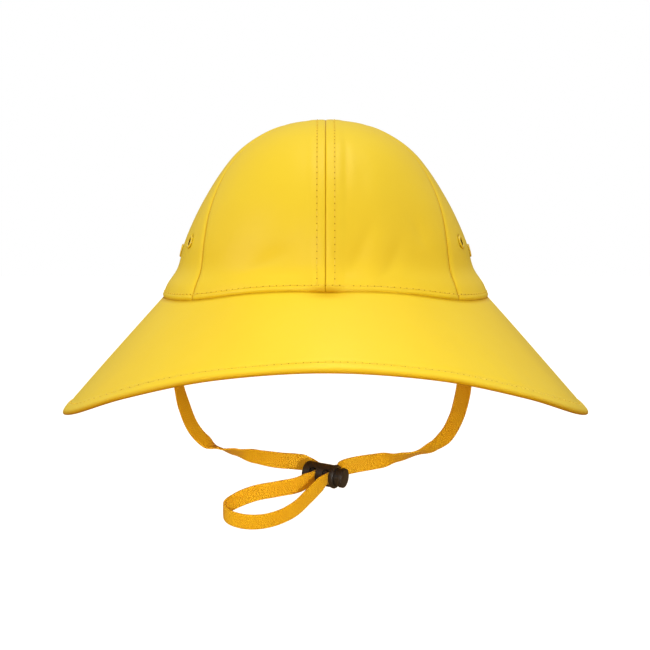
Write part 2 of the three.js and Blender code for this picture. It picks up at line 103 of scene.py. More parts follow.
# Brim edge every 22.5 degrees from front to back: how far out and how high
BRIM_EDGE = (
    (154, -30.7),
    (153, -35.8),
    (151, -48.4),
    (149, -61.6),
    (149, -67.0),
    (155, -66.5),
    (168, -63.0),
    (179, -58.5),
    (183.5, -56.5),
)
PIECE_GAP = 0.35
BRIM_SHEET = 2.1
BRIM_TUCK = 1.0
BRIM_BOW = 0.4
HEM = {"width": 7.4, "thickness": 3.2, "nose": 3.1, "nose_steps": 12, "band_steps": 10}
# How much of the seam's painted shade the hem's nose has, and how far round it gets there
HEM_SHADE = 0.9
HEM_SHADE_TURN = 1.4
BRIM_ROUND = 360
BRIM_STEPS = 26

# Eyelets, a pair on each side panel
EYELET_PLACES = {"front": (70.5, 0.273), "rear": (88.5, 0.244)}
EYELET = {"hole": 2.1, "tube": 2.75, "flange": 3.9, "rise": 0.55, "room": 0.45}
# The cloth is cut back to this radius round an eyelet.
EYELET_CLEARANCE = 3.3
EYELET_ROUND = 48
# The rolled flange: steps over it, how full it is, and how far it sinks into the cloth
ROLL_STEPS = 12
ROLL_FULLNESS = 0.8
EYELET_SINK = 0.3
# Points this close to the hole's radius get the painted shade inside the tube.
TUBE_SKIN = 0.1

# Lock: its middle, its long axis towards the button, and its slots
LOCK_MIDDLE = Vector((-1.5, -11.82, -100.95))
LOCK_AXIS = Vector((0.9, -0.41, -0.11)).normalized()
SLOT_TIP = 9
SLOT_SPACING = 8.2
BARREL = {
    "radius": 6.4, "bore": 5.25, "end": 1.6, "edge": 2.4, "to_far_slot": 7.05,
    "to_mouth": 4.75, "rim": 6.8, "rim_width": 1.8, "rim_bevel": 0.7,
}
SLOT = {"width": 4.2, "height": 9.2, "corner": 1.4}
BUTTON = {
    "radius": 5.6, "head": 2.8, "gap": 2.2, "edge": 0.6, "stem": 5.0, "slot_height": 8.4,
    "slot_width": 4.1, "slot_shift": 2.0, "slot_corner": 0.3, "tip": 1.7,
}
CLAMPED = {
    "width": 6.8, "thickness": 1.5, "shift": 1.0, "drop": 0.45, "full": 0.5, "free": 6.5,
}
ROUND_STEPS = 72


def mix(a, b, share):
    return a + (b - a) * share


def smoothstep(value, low, high):
    share = min(max((value - low) / (high - low), 0), 1)
    return share * share * (3 - 2 * share)


def cubic(start, end, leave, arrive, share):
    """A smooth way from start to end with the slopes given, for numbers and vectors alike."""
    return (
        (start * 2 - end * 2 + leave + arrive) * share**3
        + (start * -3 + end * 3 - leave * 2 - arrive) * share**2
        + leave * share
        + start
    )


def hermite(before, start, end, after, share):
    """Uniform spline between start and end."""
    return cubic(start, end, (end - before) * 0.5, (after - start) * 0.5, share)


def column_value(rows, column, place):
    """A table's column at a place from 0 to 1, through evenly spaced rows."""
    at = min(max(place, 0), 1) * (len(rows) - 1)
    last = len(rows) - 1
    i = min(int(at), last)
    picked = (max(i - 1, 0), i, min(i + 1, last), min(i + 2, last))
    return hermite(*(rows[p][column] for p in picked), at - i)


@lru_cache(maxsize=None)
def ring_at(level):
    return {
        name: column_value(CROWN_RINGS, i, level) for i, name in enumerate(RING_COLUMNS)
    }


def folded(degrees):
    return (degrees + 180) % 360 - 180


def smooth_crown(azimuth, level):
    """A point on the crown's outer face before its dents, in mm."""
    ring = ring_at(round(level, 6))
    a = math.radians(azimuth)
    reach = ring["front"] if math.cos(a) > 0 else ring["back"]
    x, y = ring["half_width"] * math.sin(a), -reach * math.cos(a)
    share = abs(folded(azimuth)) / FRONT_LIFT["half_angle"]
    lift = FRONT_LIFT["rise"] * math.exp(-(share ** FRONT_LIFT["power"]))
    fade = max(0, 1 - level / LIFT_FADE)
    z = ring["height"] + lift * fade * fade - y * math.tan(math.radians(ring["lean"]))
    return Vector((x, y + ring["set_back"], z))


@lru_cache(maxsize=None)
def seam_ring(azimuth):
    return smooth_crown(azimuth, 0)


def crown_frame(azimuth, level):
    """The crown's outward direction, and how many mm one degree is, at a place."""
    inside = min(max(level, 0.01), 0.98)
    around = smooth_crown(azimuth + 0.5, inside) - smooth_crown(azimuth - 0.5, inside)
    up = smooth_crown(azimuth, inside + 0.005) - smooth_crown(azimuth, inside - 0.005)
    return around.cross(up).normalized(), around.length


def above_seam(azimuth, level):
    """How far a place is above the brim seam, in mm."""
    return (smooth_crown(azimuth, level) - seam_ring(round(azimuth, 4))).length


# Sewing, in mm: a seam's narrow valley and the cloth that curves down to it
SEAM = {"depth": 0.4, "reach": 0.3, "shoulder": 0.2, "shoulder_reach": 1.8}
# The plain seams beside the front and back panels lie in a wider, deeper valley.
PLAIN_SEAM = {"depth": 0.45, "reach": 2.3}
# The centre seams are pressed open and stitched down at each side.
CENTRE_ROWS = {-1: 4.65, 1: 4.95}
OPEN_SEAM = {"rise": 0.32, "flat": 7.6, "fall": 10.8}
CROWN_ROW = 2.9
ROW_GROOVE = {"depth": 0.16, "reach": 0.7}
CROWN_HEM = {"turn": 0.7, "turn_reach": 0.6, "swell": 0.3, "swell_reach": 1.5}
PUCKER = {"depth": 0.07, "reach": 4.0, "pitch": 12.7}
# The bulky end of the centre seam presses the brim down in front of it, in mm.
SEAM_LUMP = {"depth": 0.4, "half_width": 8.5, "out": 2.2, "reach": 3.2, "shift": 1.0}


# The relief fades towards the tip, from where one degree is this many mm.
FULL_RELIEF_DEGREE = 0.35


def bump(distance, reach):
    return math.exp(-((distance / reach) ** 2))


def dent_depth(azimuth, level):
    depth = 0
    for middle, height, across, up, deep in DENTS:
        a, b = folded(azimuth - middle) / across, (level - height) / up
        depth += deep * math.exp(-a * a - b * b)
    return depth


# About how many mm one degree and the whole of the level are, for the folds' lengths
DEGREE_MM = 1.45
LEVEL_MM = 150
# How deep a fold is at its ends and in between, as places on half a sine wave
FOLD_ENDS = (0.12, 0.88)


def fold_depth(azimuth, level):
    depth = dent_depth(azimuth, level)
    for start, low, end, high, reach, deep in FOLDS:
        across, up = (end - start) * DEGREE_MM, (high - low) * LEVEL_MM
        x, y = folded(azimuth - start) * DEGREE_MM, (level - low) * LEVEL_MM
        share = min(max((x * across + y * up) / (across * across + up * up), 0), 1)
        away = math.hypot(x - share * across, y - share * up)
        if away < 3 * reach:
            depth += deep * math.sin(math.pi * mix(*FOLD_ENDS, share)) * bump(away, reach)
    return depth


def to_plain_seam(turn, level, degree):
    """How far a place is from the nearest seam beside the side panels, in mm."""
    front_seam = ring_at(round(level, 6))["front_seam"]
    return min(abs(turn - front_seam), abs(turn - BACK_SEAM)) * degree


def crown_relief(azimuth, level, degree):
    """How far sewing and folds lift the cloth from the smooth crown, in mm."""
    side = 1 if folded(azimuth) >= 0 else -1
    turn = abs(folded(azimuth))
    centre, row = min(turn, 180 - turn) * degree, CENTRE_ROWS[side]
    plain = to_plain_seam(turn, level, degree)
    seam = min(centre, plain)
    strength = min(1, degree / FULL_RELIEF_DEGREE)
    relief = -SEAM["depth"] * strength * math.exp(-seam / SEAM["reach"])
    relief -= SEAM["shoulder"] * strength * bump(seam, SEAM["shoulder_reach"])
    relief -= PLAIN_SEAM["depth"] * strength * bump(plain, PLAIN_SEAM["reach"])
    relief += OPEN_SEAM["rise"] * strength * (
        1 - smoothstep(centre, OPEN_SEAM["flat"], OPEN_SEAM["fall"])
    )
    relief -= ROW_GROOVE["depth"] * strength * bump(centre - row, ROW_GROOVE["reach"])
    high = above_seam(azimuth, level)
    relief -= CROWN_HEM["turn"] * bump(high, CROWN_HEM["turn_reach"])
    relief += CROWN_HEM["swell"] * bump(high - CROWN_ROW / 2, CROWN_HEM["swell_reach"])
    relief -= ROW_GROOVE["depth"] * bump(high - CROWN_ROW, ROW_GROOVE["reach"])
    ripple = math.sin(turn * degree * math.tau / PUCKER["pitch"] + 1.3 * side)
    relief += PUCKER["depth"] * ripple * bump(high - CROWN_ROW, PUCKER["reach"])
    climb = math.sin(high * math.tau / PUCKER["pitch"] + side)
    relief += PUCKER["depth"] * climb * strength * bump(centre - row, PUCKER["reach"])
    return relief - fold_depth(azimuth, level)


def crown_place(azimuth, level):
    """A point on the finished cloth of the crown, and its outward direction, in mm."""
    normal, degree = crown_frame(azimuth, level)
    lift = crown_relief(azimuth, level, degree)
    return smooth_crown(azimuth, level) + normal * lift, normal


EDGE_POINTS = []
for step in range(2 * (len(BRIM_EDGE) - 1)):
    reach, height = BRIM_EDGE[min(step, 2 * (len(BRIM_EDGE) - 1) - step)]
    turn = math.pi * step / (len(BRIM_EDGE) - 1)
    EDGE_POINTS.append(Vector((reach * math.sin(turn), -reach * math.cos(turn), height)))


def brim_edge(azimuth):
    at = (azimuth % 360) / 360 * len(EDGE_POINTS)
    i = int(at)
    picked = (EDGE_POINTS[(i + k) % len(EDGE_POINTS)] for k in (-1, 0, 1, 2))
    return hermite(*picked, at - i)


@lru_cache(maxsize=None)
def brim_ends(azimuth):
    """The brim sheet's middle at the seam and at the edge, in mm."""
    a = math.radians(azimuth)
    root = seam_ring(azimuth) + Vector((-math.sin(a), math.cos(a), 0)) * BRIM_TUCK
    root.z -= PIECE_GAP + BRIM_SHEET / 2
    return root, brim_edge(azimuth)


def brim_middle(azimuth, share):
    root, edge = brim_ends(round(azimuth % 360, 5))
    point = root.lerp(edge, share)
    point.z += BRIM_BOW * 4 * share * (1 - share)
    return point


def brim_frame(azimuth, share):
    inside = min(max(share, 0.02), 0.98)
    out = brim_middle(azimuth, inside + 0.01) - brim_middle(azimuth, inside - 0.01)
    around = brim_middle(azimuth + 0.5, inside) - brim_middle(azimuth - 0.5, inside)
    return out.cross(around).normalized()


# Slow waves of the brim's cloth: how many round the brim, where they start, and their height
BRIM_WAVES = ((7, 20, 0.25), (11, 75, 0.18), (17, 40, 0.1))
HEM_GROOVE = {"depth": 0.32, "reach": 0.85}
HEM_PUCKER = {"height": 0.1, "waves": 124, "reach": 5}


def brim_waves(azimuth, share):
    a = math.radians(azimuth)
    swell = sum(h * math.sin(n * a + math.radians(s)) for n, s, h in BRIM_WAVES)
    return swell * smoothstep(share, 0.05, 0.8)


def lump_depth(azimuth, from_seam):
    """How far the end of the front centre seam presses the brim down, in mm."""
    across = folded(azimuth) * DEGREE_MM - SEAM_LUMP["shift"]
    if abs(across) > 3 * SEAM_LUMP["half_width"]:
        return 0
    along = bump(max(from_seam - SEAM_LUMP["out"], 0), SEAM_LUMP["reach"])
    return SEAM_LUMP["depth"] * bump(across, SEAM_LUMP["half_width"]) * along


def brim_place(azimuth, from_edge, lift, upper=True):
    """A point on the brim: from_edge is how far in from its edge, lift off its middle, in mm."""
    root, edge = brim_ends(round(azimuth % 360, 5))
    length = (edge - root).length
    share = 1 - from_edge / length
    normal = brim_frame(azimuth, share)
    lift += brim_waves(azimuth, share) * (1 - smoothstep(share, 0.93, 1))
    if from_edge > HEM["nose"]:
        away = from_edge - HEM["width"]
        pucker = math.sin(math.radians(azimuth * HEM_PUCKER["waves"]))
        sink = HEM_GROOVE["depth"] * bump(away, HEM_GROOVE["reach"])
        sink -= HEM_PUCKER["height"] * pucker * bump(away, HEM_PUCKER["reach"])
        lift -= sink if upper else -sink
    if upper:
        lift -= lump_depth(azimuth, length - from_edge)
    return brim_middle(azimuth, share) + normal * lift, normal


def new_piece(name, bm, material, body="hat", smooth=True):
    """Makes an object from a bmesh whose points are in mm in the hat's frame."""
    bmesh.ops.scale(bm, vec=(MM, MM, MM), verts=bm.verts)
    mesh = bpy.data.meshes.new(name)
    bm.to_mesh(mesh)
    bm.free()
    mesh.materials.append(material)
    if smooth:
        mesh.shade_smooth()
    piece = bpy.data.objects.new(name, mesh)
    bpy.context.scene.collection.objects.link(piece)
    if body:
        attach(piece, body)
    return piece


def spin(bm, places, axis, steps, closed=True):
    """Turns a section once round an axis. An open one starts and ends on the axis."""
    verts = [bm.verts.new(place) for place in places]
    after = verts[1:] + verts[:1] if closed else verts[1:]
    edges = [bm.edges.new(pair) for pair in zip(verts, after)]
    bmesh.ops.spin(
        bm, geom=verts + edges, cent=(0, 0, 0), axis=axis, angle=math.tau, steps=steps,
        use_merge=True,
    )


def soften_edges(piece, name, width, sharpest, harden=False):
    """Rounds the edges that turn by more than sharpest, in degrees."""
    edge = piece.modifiers.new(name, "BEVEL")
    edge.width = width
    edge.segments = 3
    edge.limit_method = "ANGLE"
    edge.angle_limit = math.radians(sharpest)
    edge.harden_normals = harden


# Materials
def add_node(tree, kind, at, **values):
    """Adds a node; values name its settings, or its inputs where it has no such setting."""
    made = tree.nodes.new(kind)
    made.location = at
    for name, value in values.items():
        if hasattr(made, name):
            setattr(made, name, value)
        else:
            made.inputs[name.replace("_", " ")].default_value = value
    return made


def connect(tree, *pairs):
    """Links each pair of an output and an input."""
    for output, target in pairs:
        tree.links.new(output, target)


def new_group(name, inputs, outputs):
    tree = bpy.data.node_groups.new(name, "ShaderNodeTree")
    for label, kind, value in inputs:
        made = tree.interface.new_socket(name=label, in_out="INPUT", socket_type=kind)
        if value is not None:
            made.default_value = value
    for label, kind in outputs:
        tree.interface.new_socket(name=label, in_out="OUTPUT", socket_type=kind)
    start = add_node(tree, "NodeGroupInput", (-900, 0))
    end = add_node(tree, "NodeGroupOutput", (600, 0))
    return tree, start, end


def grain_group():
    """Fine pebbled grain as a height, with so many grains to the metre."""
    found = bpy.data.node_groups.get("Fine grain")
    if found:
        return found
    tree, start, end = new_group(
        "Fine grain",
        (
            ("Vector", "NodeSocketVector", None),
            ("Grain per metre", "NodeSocketFloat", 900.0),
            ("Unevenness", "NodeSocketFloat", 0.3),
        ),
        (("Height", "NodeSocketFloat"),),
    )
    cells = add_node(
        tree, "ShaderNodeTexVoronoi", (-600, 150), feature="SMOOTH_F1", Smoothness=0.6
    )
    slow = add_node(tree, "ShaderNodeTexNoise", (-600, -200), Detail=4.0)
    larger = add_node(tree, "ShaderNodeMath", (-750, -250), operation="MULTIPLY")
    larger.inputs[1].default_value = 0.12
    both = add_node(tree, "ShaderNodeMix", (-200, 0), data_type="FLOAT")
    connect(
        tree,
        (start.outputs["Vector"], cells.inputs["Vector"]),
        (start.outputs["Grain per metre"], cells.inputs["Scale"]),
        (start.outputs["Vector"], slow.inputs["Vector"]),
        (start.outputs["Grain per metre"], larger.inputs[0]),
        (larger.outputs[0], slow.inputs["Scale"]),
        (start.outputs["Unevenness"], both.inputs[0]),
        (cells.outputs["Distance"], both.inputs[2]),
        (slow.outputs["Fac"], both.inputs[3]),
        (both.outputs[0], end.inputs["Height"]),
    )
    return tree


def drift_group():
    """Slow change between two colours over a surface."""
    found = bpy.data.node_groups.get("Tone drift")
    if found:
        return found
    tree, start, end = new_group(
        "Tone drift",
        (
            ("Vector", "NodeSocketVector", None),
            ("Patches per metre", "NodeSocketFloat", 14.0),
            ("One tone", "NodeSocketColor", None),
            ("Other tone", "NodeSocketColor", None),
        ),
        (("Color", "NodeSocketColor"), ("Mask", "NodeSocketFloat")),
    )
    slow = add_node(tree, "ShaderNodeTexNoise", (-600, 0), Detail=3.0)
    spread = add_node(tree, "ShaderNodeMapRange", (-350, 0), From_Min=0.3, From_Max=0.7)
    both = add_node(tree, "ShaderNodeMix", (-50, 0), data_type="RGBA")
    connect(
        tree,
        (start.outputs["Vector"], slow.inputs["Vector"]),
        (start.outputs["Patches per metre"], slow.inputs["Scale"]),
        (slow.outputs["Fac"], spread.inputs["Value"]),
        (spread.outputs["Result"], both.inputs[0]),
        (start.outputs["One tone"], both.inputs[6]),
        (start.outputs["Other tone"], both.inputs[7]),
        (both.outputs[2], end.inputs["Color"]),
        (spread.outputs["Result"], end.inputs["Mask"]),
    )
    return tree


def new_material(name, **shader):
    material = bpy.data.materials.new(name)
    material.use_nodes = True
    bsdf = material.node_tree.nodes["Principled BSDF"]
    for label, value in shader.items():
        bsdf.inputs[label.replace("_", " ")].default_value = value
    return material, material.node_tree, bsdf


def place_group(tree, group, at, **values):
    made = tree.nodes.new("ShaderNodeGroup")
    made.node_tree = group
    made.location = at
    for name, value in values.items():
        made.inputs[name.replace("_", " ")].default_value = value
    return made


def object_vector(tree):
    return add_node(tree, "ShaderNodeTexCoord", (-1200, 0)).outputs["Object"]


def drifting(tree, patches, one, other, at=(-900, 250)):
    """Tones that drift slowly between two colours over the object."""
    tones = place_group(
        tree, drift_group(), at, Patches_per_metre=patches,
        One_tone=(*one, 1), Other_tone=(*other, 1),
    )
    connect(tree, (object_vector(tree), tones.inputs["Vector"]))
    return tones


def mix_to(tree, at, colour, share, first=None):
    """A node that mixes to a colour by a share."""
    made = add_node(tree, "ShaderNodeMix", at, data_type="RGBA")
    made.inputs[7].default_value = (*colour, 1)
    connect(tree, (share, made.inputs[0]))
    if first:
        connect(tree, (first, made.inputs[6]))
    return made


def add_roughness(tree, bsdf, tones, low, high, at=(-500, 0)):
    """Lets the roughness drift with the tones."""
    rough = add_node(tree, "ShaderNodeMapRange", at, To_Min=low, To_Max=high)
    connect(
        tree,
        (tones.outputs["Mask"], rough.inputs["Value"]),
        (rough.outputs["Result"], bsdf.inputs["Roughness"]),
    )


def add_grain(tree, bsdf, per_metre, strength, height):
    """Raises a fine grain on the surface, by a height in metres."""
    grain = place_group(tree, grain_group(), (-900, -150), Grain_per_metre=per_metre)
    fine = add_node(
        tree, "ShaderNodeBump", (-250, -200), Strength=strength, Distance=height
    )
    connect(
        tree,
        (object_vector(tree), grain.inputs["Vector"]),
        (grain.outputs["Height"], fine.inputs["Height"]),
        (fine.outputs["Normal"], bsdf.inputs["Normal"]),
    )
    return fine


def cloth_material(name, settings):
    """Satin coated cloth, with painted shade where it turns into a seam or under the hem."""
    material, tree, bsdf = new_material(name)
    tones = drifting(tree, 11.0, settings.cloth_colour, settings.cloth_colour_deep)
    # This attribute holds how much painted shade each place gets.
    crease = add_node(tree, "ShaderNodeAttribute", (-900, 500), attribute_name="crease")
    seam = mix_to(
        tree, (-500, 300), settings.seam_painted_shade, crease.outputs["Fac"], tones.outputs["Color"]
    )
    gloss = add_node(
        tree, "ShaderNodeMapRange", (-500, 550), To_Min=settings.cloth_gloss, To_Max=0.02
    )
    matt = settings.cloth_roughness
    add_roughness(tree, bsdf, tones, matt - 0.04, matt + 0.05)
    fine = add_grain(tree, bsdf, 1300.0, 0.35, 0.00007)
    ripple = add_node(tree, "ShaderNodeTexNoise", (-900, -450), Scale=26.0, Detail=3.0)
    slow = add_node(tree, "ShaderNodeBump", (-500, -420), Strength=0.5, Distance=0.0016)
    connect(
        tree,
        (crease.outputs["Fac"], gloss.inputs["Value"]),
        (gloss.outputs["Result"], bsdf.inputs["Specular IOR Level"]),
        (seam.outputs[2], bsdf.inputs["Base Color"]),
        (object_vector(tree), ripple.inputs["Vector"]),
        (ripple.outputs["Fac"], slow.inputs["Height"]),
        (slow.outputs["Normal"], fine.inputs["Normal"]),
    )
    return material


def thread_material(name, settings):
    """Twisted sewing thread."""
    material, tree, bsdf = new_material(name, Roughness=0.55)
    tones = drifting(tree, 160.0, settings.thread_colour, settings.cloth_colour_deep)
    twist = add_node(
        tree, "ShaderNodeTexWave", (-900, -150), Scale=900.0, Distortion=2.0,
        bands_direction="DIAGONAL",
    )
    raised = add_node(tree, "ShaderNodeBump", (-400, -150), Strength=0.5, Distance=0.0001)
    connect(
        tree,
        (object_vector(tree), twist.inputs["Vector"]),
        (tones.outputs["Color"], bsdf.inputs["Base Color"]),
        (twist.outputs["Fac"], raised.inputs["Height"]),
        (raised.outputs["Normal"], bsdf.inputs["Normal"]),
    )
    return material


def needle_hole_shade_material(name, settings):
    """Painted shade of the hole that the needle leaves between two stitches."""
    material, tree, bsdf = new_material(name, Roughness=0.8, Specular_IOR_Level=0.1)
    grain = place_group(tree, grain_group(), (-900, -150), Grain_per_metre=2500.0)
    shade = mix_to(tree, (-400, 200), settings.seam_painted_shade, grain.outputs["Height"])
    shade.inputs[6].default_value = (*settings.needle_hole_shade_colour, 1)
    connect(
        tree,
        (object_vector(tree), grain.inputs["Vector"]),
        (shade.outputs[2], bsdf.inputs["Base Color"]),
    )
    return material


def eyelet_material(name, settings):
    """Painted metal, with painted shade inside its tube."""
    material, tree, bsdf = new_material(name, Coat_Weight=0.45, Coat_Roughness=0.16)
    tones = drifting(tree, 240.0, settings.eyelet_colour, settings.cloth_colour_deep)
    inner = add_node(tree, "ShaderNodeAttribute", (-900, 500), attribute_name="inner")
    shaded = mix_to(
        tree, (-500, 300), settings.tube_painted_shade, inner.outputs["Fac"], tones.outputs["Color"]
    )
    connect(tree, (shaded.outputs[2], bsdf.inputs["Base Color"]))
    add_roughness(tree, bsdf, tones, 0.26, 0.4)
    add_grain(tree, bsdf, 2200.0, 0.25, 0.00005)
    return material


def plastic_material(name, settings):
    """Matt moulded plastic with a fine spark-eroded grain."""
    material, tree, bsdf = new_material(name, Specular_IOR_Level=0.5)
    deep = [0.6 * value for value in settings.plastic_colour]
    tones = drifting(tree, 180.0, settings.plastic_colour, deep)
    connect(tree, (tones.outputs["Color"], bsdf.inputs["Base Color"]))
    add_roughness(tree, bsdf, tones, 0.4, 0.52)
    add_grain(tree, bsdf, 3200.0, 0.4, 0.00006)
    return material


def webbing_material(name, settings):
    """Woven webbing: cross ribs and warp yarns along its own UV map, in mm, with painted shade in the
    valleys between them.
    """
    material, tree, bsdf = new_material(name, Specular_IOR_Level=0.2, Sheen_Weight=0.06)
    tones = drifting(
        tree, 60.0, settings.strap_colour, settings.strap_colour_deep, (-900, 450)
    )
    uv = add_node(tree, "ShaderNodeUVMap", (-1500, -100), uv_map="webbing")
    split = add_node(tree, "ShaderNodeSeparateXYZ", (-1300, -100))
    connect(tree, (uv.outputs["UV"], split.inputs[0]))

    def math_node(operation, at, first, second=None):
        made = add_node(tree, "ShaderNodeMath", at, operation=operation)
        for slot, value in zip(made.inputs, (first, second)):
            if isinstance(value, (int, float)):
                slot.default_value = value
            elif value is not None:
                connect(tree, (value, slot))
        return made.outputs[0]

    across = math_node("DIVIDE", (-1100, -50), split.outputs["X"], settings.yarn_pitch / MM)
    along = math_node("DIVIDE", (-1100, -250), split.outputs["Y"], settings.rib_pitch / MM)
    column = math_node("FLOOR", (-900, -50), across)
    shifted = math_node("MULTIPLY_ADD", (-720, -200), column, 0.5)
    connect(tree, (along, shifted.node.inputs[2]))
    rib = math_node("SINE", (-360, -250), math_node("MULTIPLY", (-540, -250), shifted, math.tau))
    turned = math_node("MULTIPLY", (-720, 0), across, math.tau)
    yarn = math_node("COSINE", (-540, 0), turned)
    valley = math_node("MULTIPLY", (-360, 0), yarn, -0.45)
    height = math_node("ADD", (-180, -120), rib, valley)
    raised = add_node(tree, "ShaderNodeBump", (-20, -200), Strength=1.0, Distance=0.00006)
    # Painted shade: the colour darkens with the weave's height, down into the valleys.
    shade = add_node(
        tree, "ShaderNodeMapRange", (-180, 250), From_Min=-1.2, From_Max=0.9,
        To_Min=0.55, To_Max=0.0,
    )
    dark = mix_to(
        tree, (-20, 300), settings.strap_valley_shade, shade.outputs["Result"],
        tones.outputs["Color"],
    )
    add_roughness(tree, bsdf, tones, 0.5, 0.7, (-180, 50))
    connect(
        tree,
        (height, shade.inputs["Value"]),
        (dark.outputs[2], bsdf.inputs["Base Color"]),
        (height, raised.inputs["Height"]),
        (raised.outputs["Normal"], bsdf.inputs["Normal"]),
    )
    return material


MATERIALS = {
    "Yellow coated cloth": cloth_material,
    "Yellow sewing thread": thread_material,
    "Needle hole": needle_hole_shade_material,
    "Yellow painted metal": eyelet_material,
    "Black moulded plastic": plastic_material,
    "Orange strap webbing": webbing_material,
}


def finish_of(name):
    """A material by its name, made when a piece first asks for it."""
    settings = bpy.context.scene.hat_finish
    return bpy.data.materials.get(name) or MATERIALS[name](name, settings)


# Settings
def tone(name, description, default):
    return bpy.props.FloatVectorProperty(
        name=name, description=description, subtype="COLOR", default=default, min=0, max=1,
    )


def size(name, description, default, low, high):
    return bpy.props.FloatProperty(
        name=name, description=description, default=default, min=low, max=high,
        unit="LENGTH", precision=5,
    )


def power(name, description, default):
    return bpy.props.FloatProperty(
        name=name, description=description, default=default, min=0, unit="POWER",
    )


def amount(name, description, default, low, high=100):
    return bpy.props.FloatProperty(
        name=name, description=description, default=default, min=low, max=high,
    )


class HatFinishSettings(bpy.types.PropertyGroup):
    """Colours and finish of the cloth, webbing and hard pieces."""

    cloth_colour: tone("Cloth", "Main tone of the coated cloth", (0.90, 0.635, 0.009))
    cloth_colour_deep: tone(
        "Cloth, deeper tone", "Second tone that the cloth drifts to", (0.88, 0.60, 0.006),
    )
    # Painted shade: the tone that the seams, the crown's lower edge, the lump below the centre seam
    # and the hem's nose are darkened towards.
    seam_painted_shade: tone(
        "Seam shade", "Tone of the cloth where it turns into a seam", (0.60, 0.28, 0.003),
    )
    # Painted shade: the dark tone that stands in for the shade inside the needle holes
    needle_hole_shade_colour: tone("Needle hole", "Tone inside the needle holes", (0.42, 0.22, 0.004))
    thread_colour: tone("Thread", "Main tone of the sewing thread", (0.92, 0.66, 0.06))
    eyelet_colour: tone("Eyelet paint", "Main tone of the painted eyelets", (0.88, 0.59, 0.012))
    # Painted shade inside the eyelets' tubes
    tube_painted_shade: tone(
        "Eyelet tube", "Tone of the painted shade inside the eyelets' tubes", (0.16, 0.08, 0.006),
    )
    strap_colour: tone("Webbing", "Main tone of the webbing", (0.97, 0.565, 0.010))
    strap_colour_deep: tone(
        "Webbing, deeper tone", "Second tone that the webbing drifts to", (0.96, 0.505, 0.006),
    )
    # Painted shade that darkens the webbing between its ribs
    strap_valley_shade: tone(
        "Webbing valleys", "Tone between the webbing's ribs", (0.76, 0.29, 0.002),
    )
    plastic_colour: tone("Lock plastic", "Main tone of the lock", (0.03, 0.02, 0.012))
    cloth_roughness: amount("Cloth roughness", "0 is glossy and 1 is matt", 0.44, 0.1, 1)
    cloth_gloss: amount(
        "Cloth gloss", "Strength of the cloth's shine away from its seams", 0.4, 0, 1,
    )
    yarn_pitch: size(
        "Warp yarn pitch", "Distance between the webbing's warp yarns", 0.0011, 0.0004, 0.004,
    )
    rib_pitch: size(
        "Rib pitch", "Distance between the webbing's cross ribs", 0.00115, 0.0004, 0.004,
    )


class HatSewingSettings(bpy.types.PropertyGroup):
    """Sizes of the cloth and its sewing."""

    wall: size("Crown cloth", "Thickness of the crown's layered cloth", 0.0014, 0.0005, 0.003)
    pitch: size("Stitch pitch", "Distance from one stitch to the next", 0.0038, 0.002, 0.008)
    stitch: size("Stitch length", "Length of thread that shows in one stitch", 0.0029, 0.001, 0.006)
    thread: size("Thread thickness", "Thickness of the sewing thread", 0.00055, 0.0002, 0.0015)
    hole: size("Needle hole", "Width of the hole that the needle leaves", 0.0008, 0.0002, 0.002)


class HatStrapSettings(bpy.types.PropertyGroup):
    """Sizes of the webbing."""

    width: size("Webbing width", "Width of the free webbing", 0.0093, 0.004, 0.02)
    thickness: size("Webbing thickness", "Thickness of the free webbing", 0.0013, 0.0006, 0.003)


class HatStageSettings(bpy.types.PropertyGroup):
    """The floor and lights around the hat."""

    floor_height: bpy.props.FloatProperty(
        name="Floor height", description="Height of the floor below the hat's middle",
        default=-0.3, max=0, unit="LENGTH",
    )
    floor_colour: tone(
        "Floor", "Tone that the floor gives to the light it throws back", (0.40, 0.235, 0.085),
    )
    front_power: power("Front light", "Power of the low soft light in front", 4.9)
    side_power: power("Side light", "Power of the soft light on the hat's right", 4.9)
    far_side_power: power("Far side light", "Power of the soft light on the hat's left", 3.1)
    top_power: power("Top light", "Power of the soft light overhead", 5.4)
    low_power: power("Low light", "Power of the soft spot on the lock and the strap", 80)
    world_light: amount("Light from above", "Strength of the even light from overhead", 0.76, 0)
    horizon_light: amount(
        "Light from the sides", "Strength of the even light at the horizon", 0.14, 0,
    )


# The crown's lower edge closes down onto the brim.
EDGE_DROP = {"depth": 0.75, "reach": 0.9}
# The seams at both sides of each kind of panel
SEAM_AZIMUTHS = {
    "front": ("centre", "front_seam"),
    "side": ("front_seam", "back_seam"),
    "back": ("back_seam", "rear"),
}
SIDES = {"left": 1, "right": -1}
# What each panel was cut to: width, length and area of the flat cloth, in metres
PANEL_CUTS = {
    "front": (0.105, 0.150, 0.0112),
    "side": (0.105, 0.135, 0.0102),
    "back": (0.100, 0.150, 0.0098),
}


def seam_azimuth(name, level):
    plain = {"centre": 0, "back_seam": BACK_SEAM, "rear": 180}
    return plain[name] if name in plain else ring_at(round(level, 6))["front_seam"]


def panel_share(place):
    """Where a column lies across its panel: columns crowd towards the seams."""
    return mix(place, 0.5 - 0.5 * math.cos(math.pi * place), SEAM_CROWDING)


# How strong the painted shade of a seam is beside a plain seam's, and how wide it is in mm
CREASE_SHADE = {
    "centre": 0.7, "centre_reach": 0.26, "plain_reach": 0.5, "brim_reach": 0.5,
    "lump": 0.7, "lump_reach": 2.4,
}
# The crown has the lump's painted shade within this many degrees of the front.
LUMP_WITHIN = 20
# The same painted shade on the brim: along its seam, and below the end of the centre seam
BRIM_CREASE_SHADE = {"seam": 0.5, "seam_reach": 0.65, "lump": 0.42}


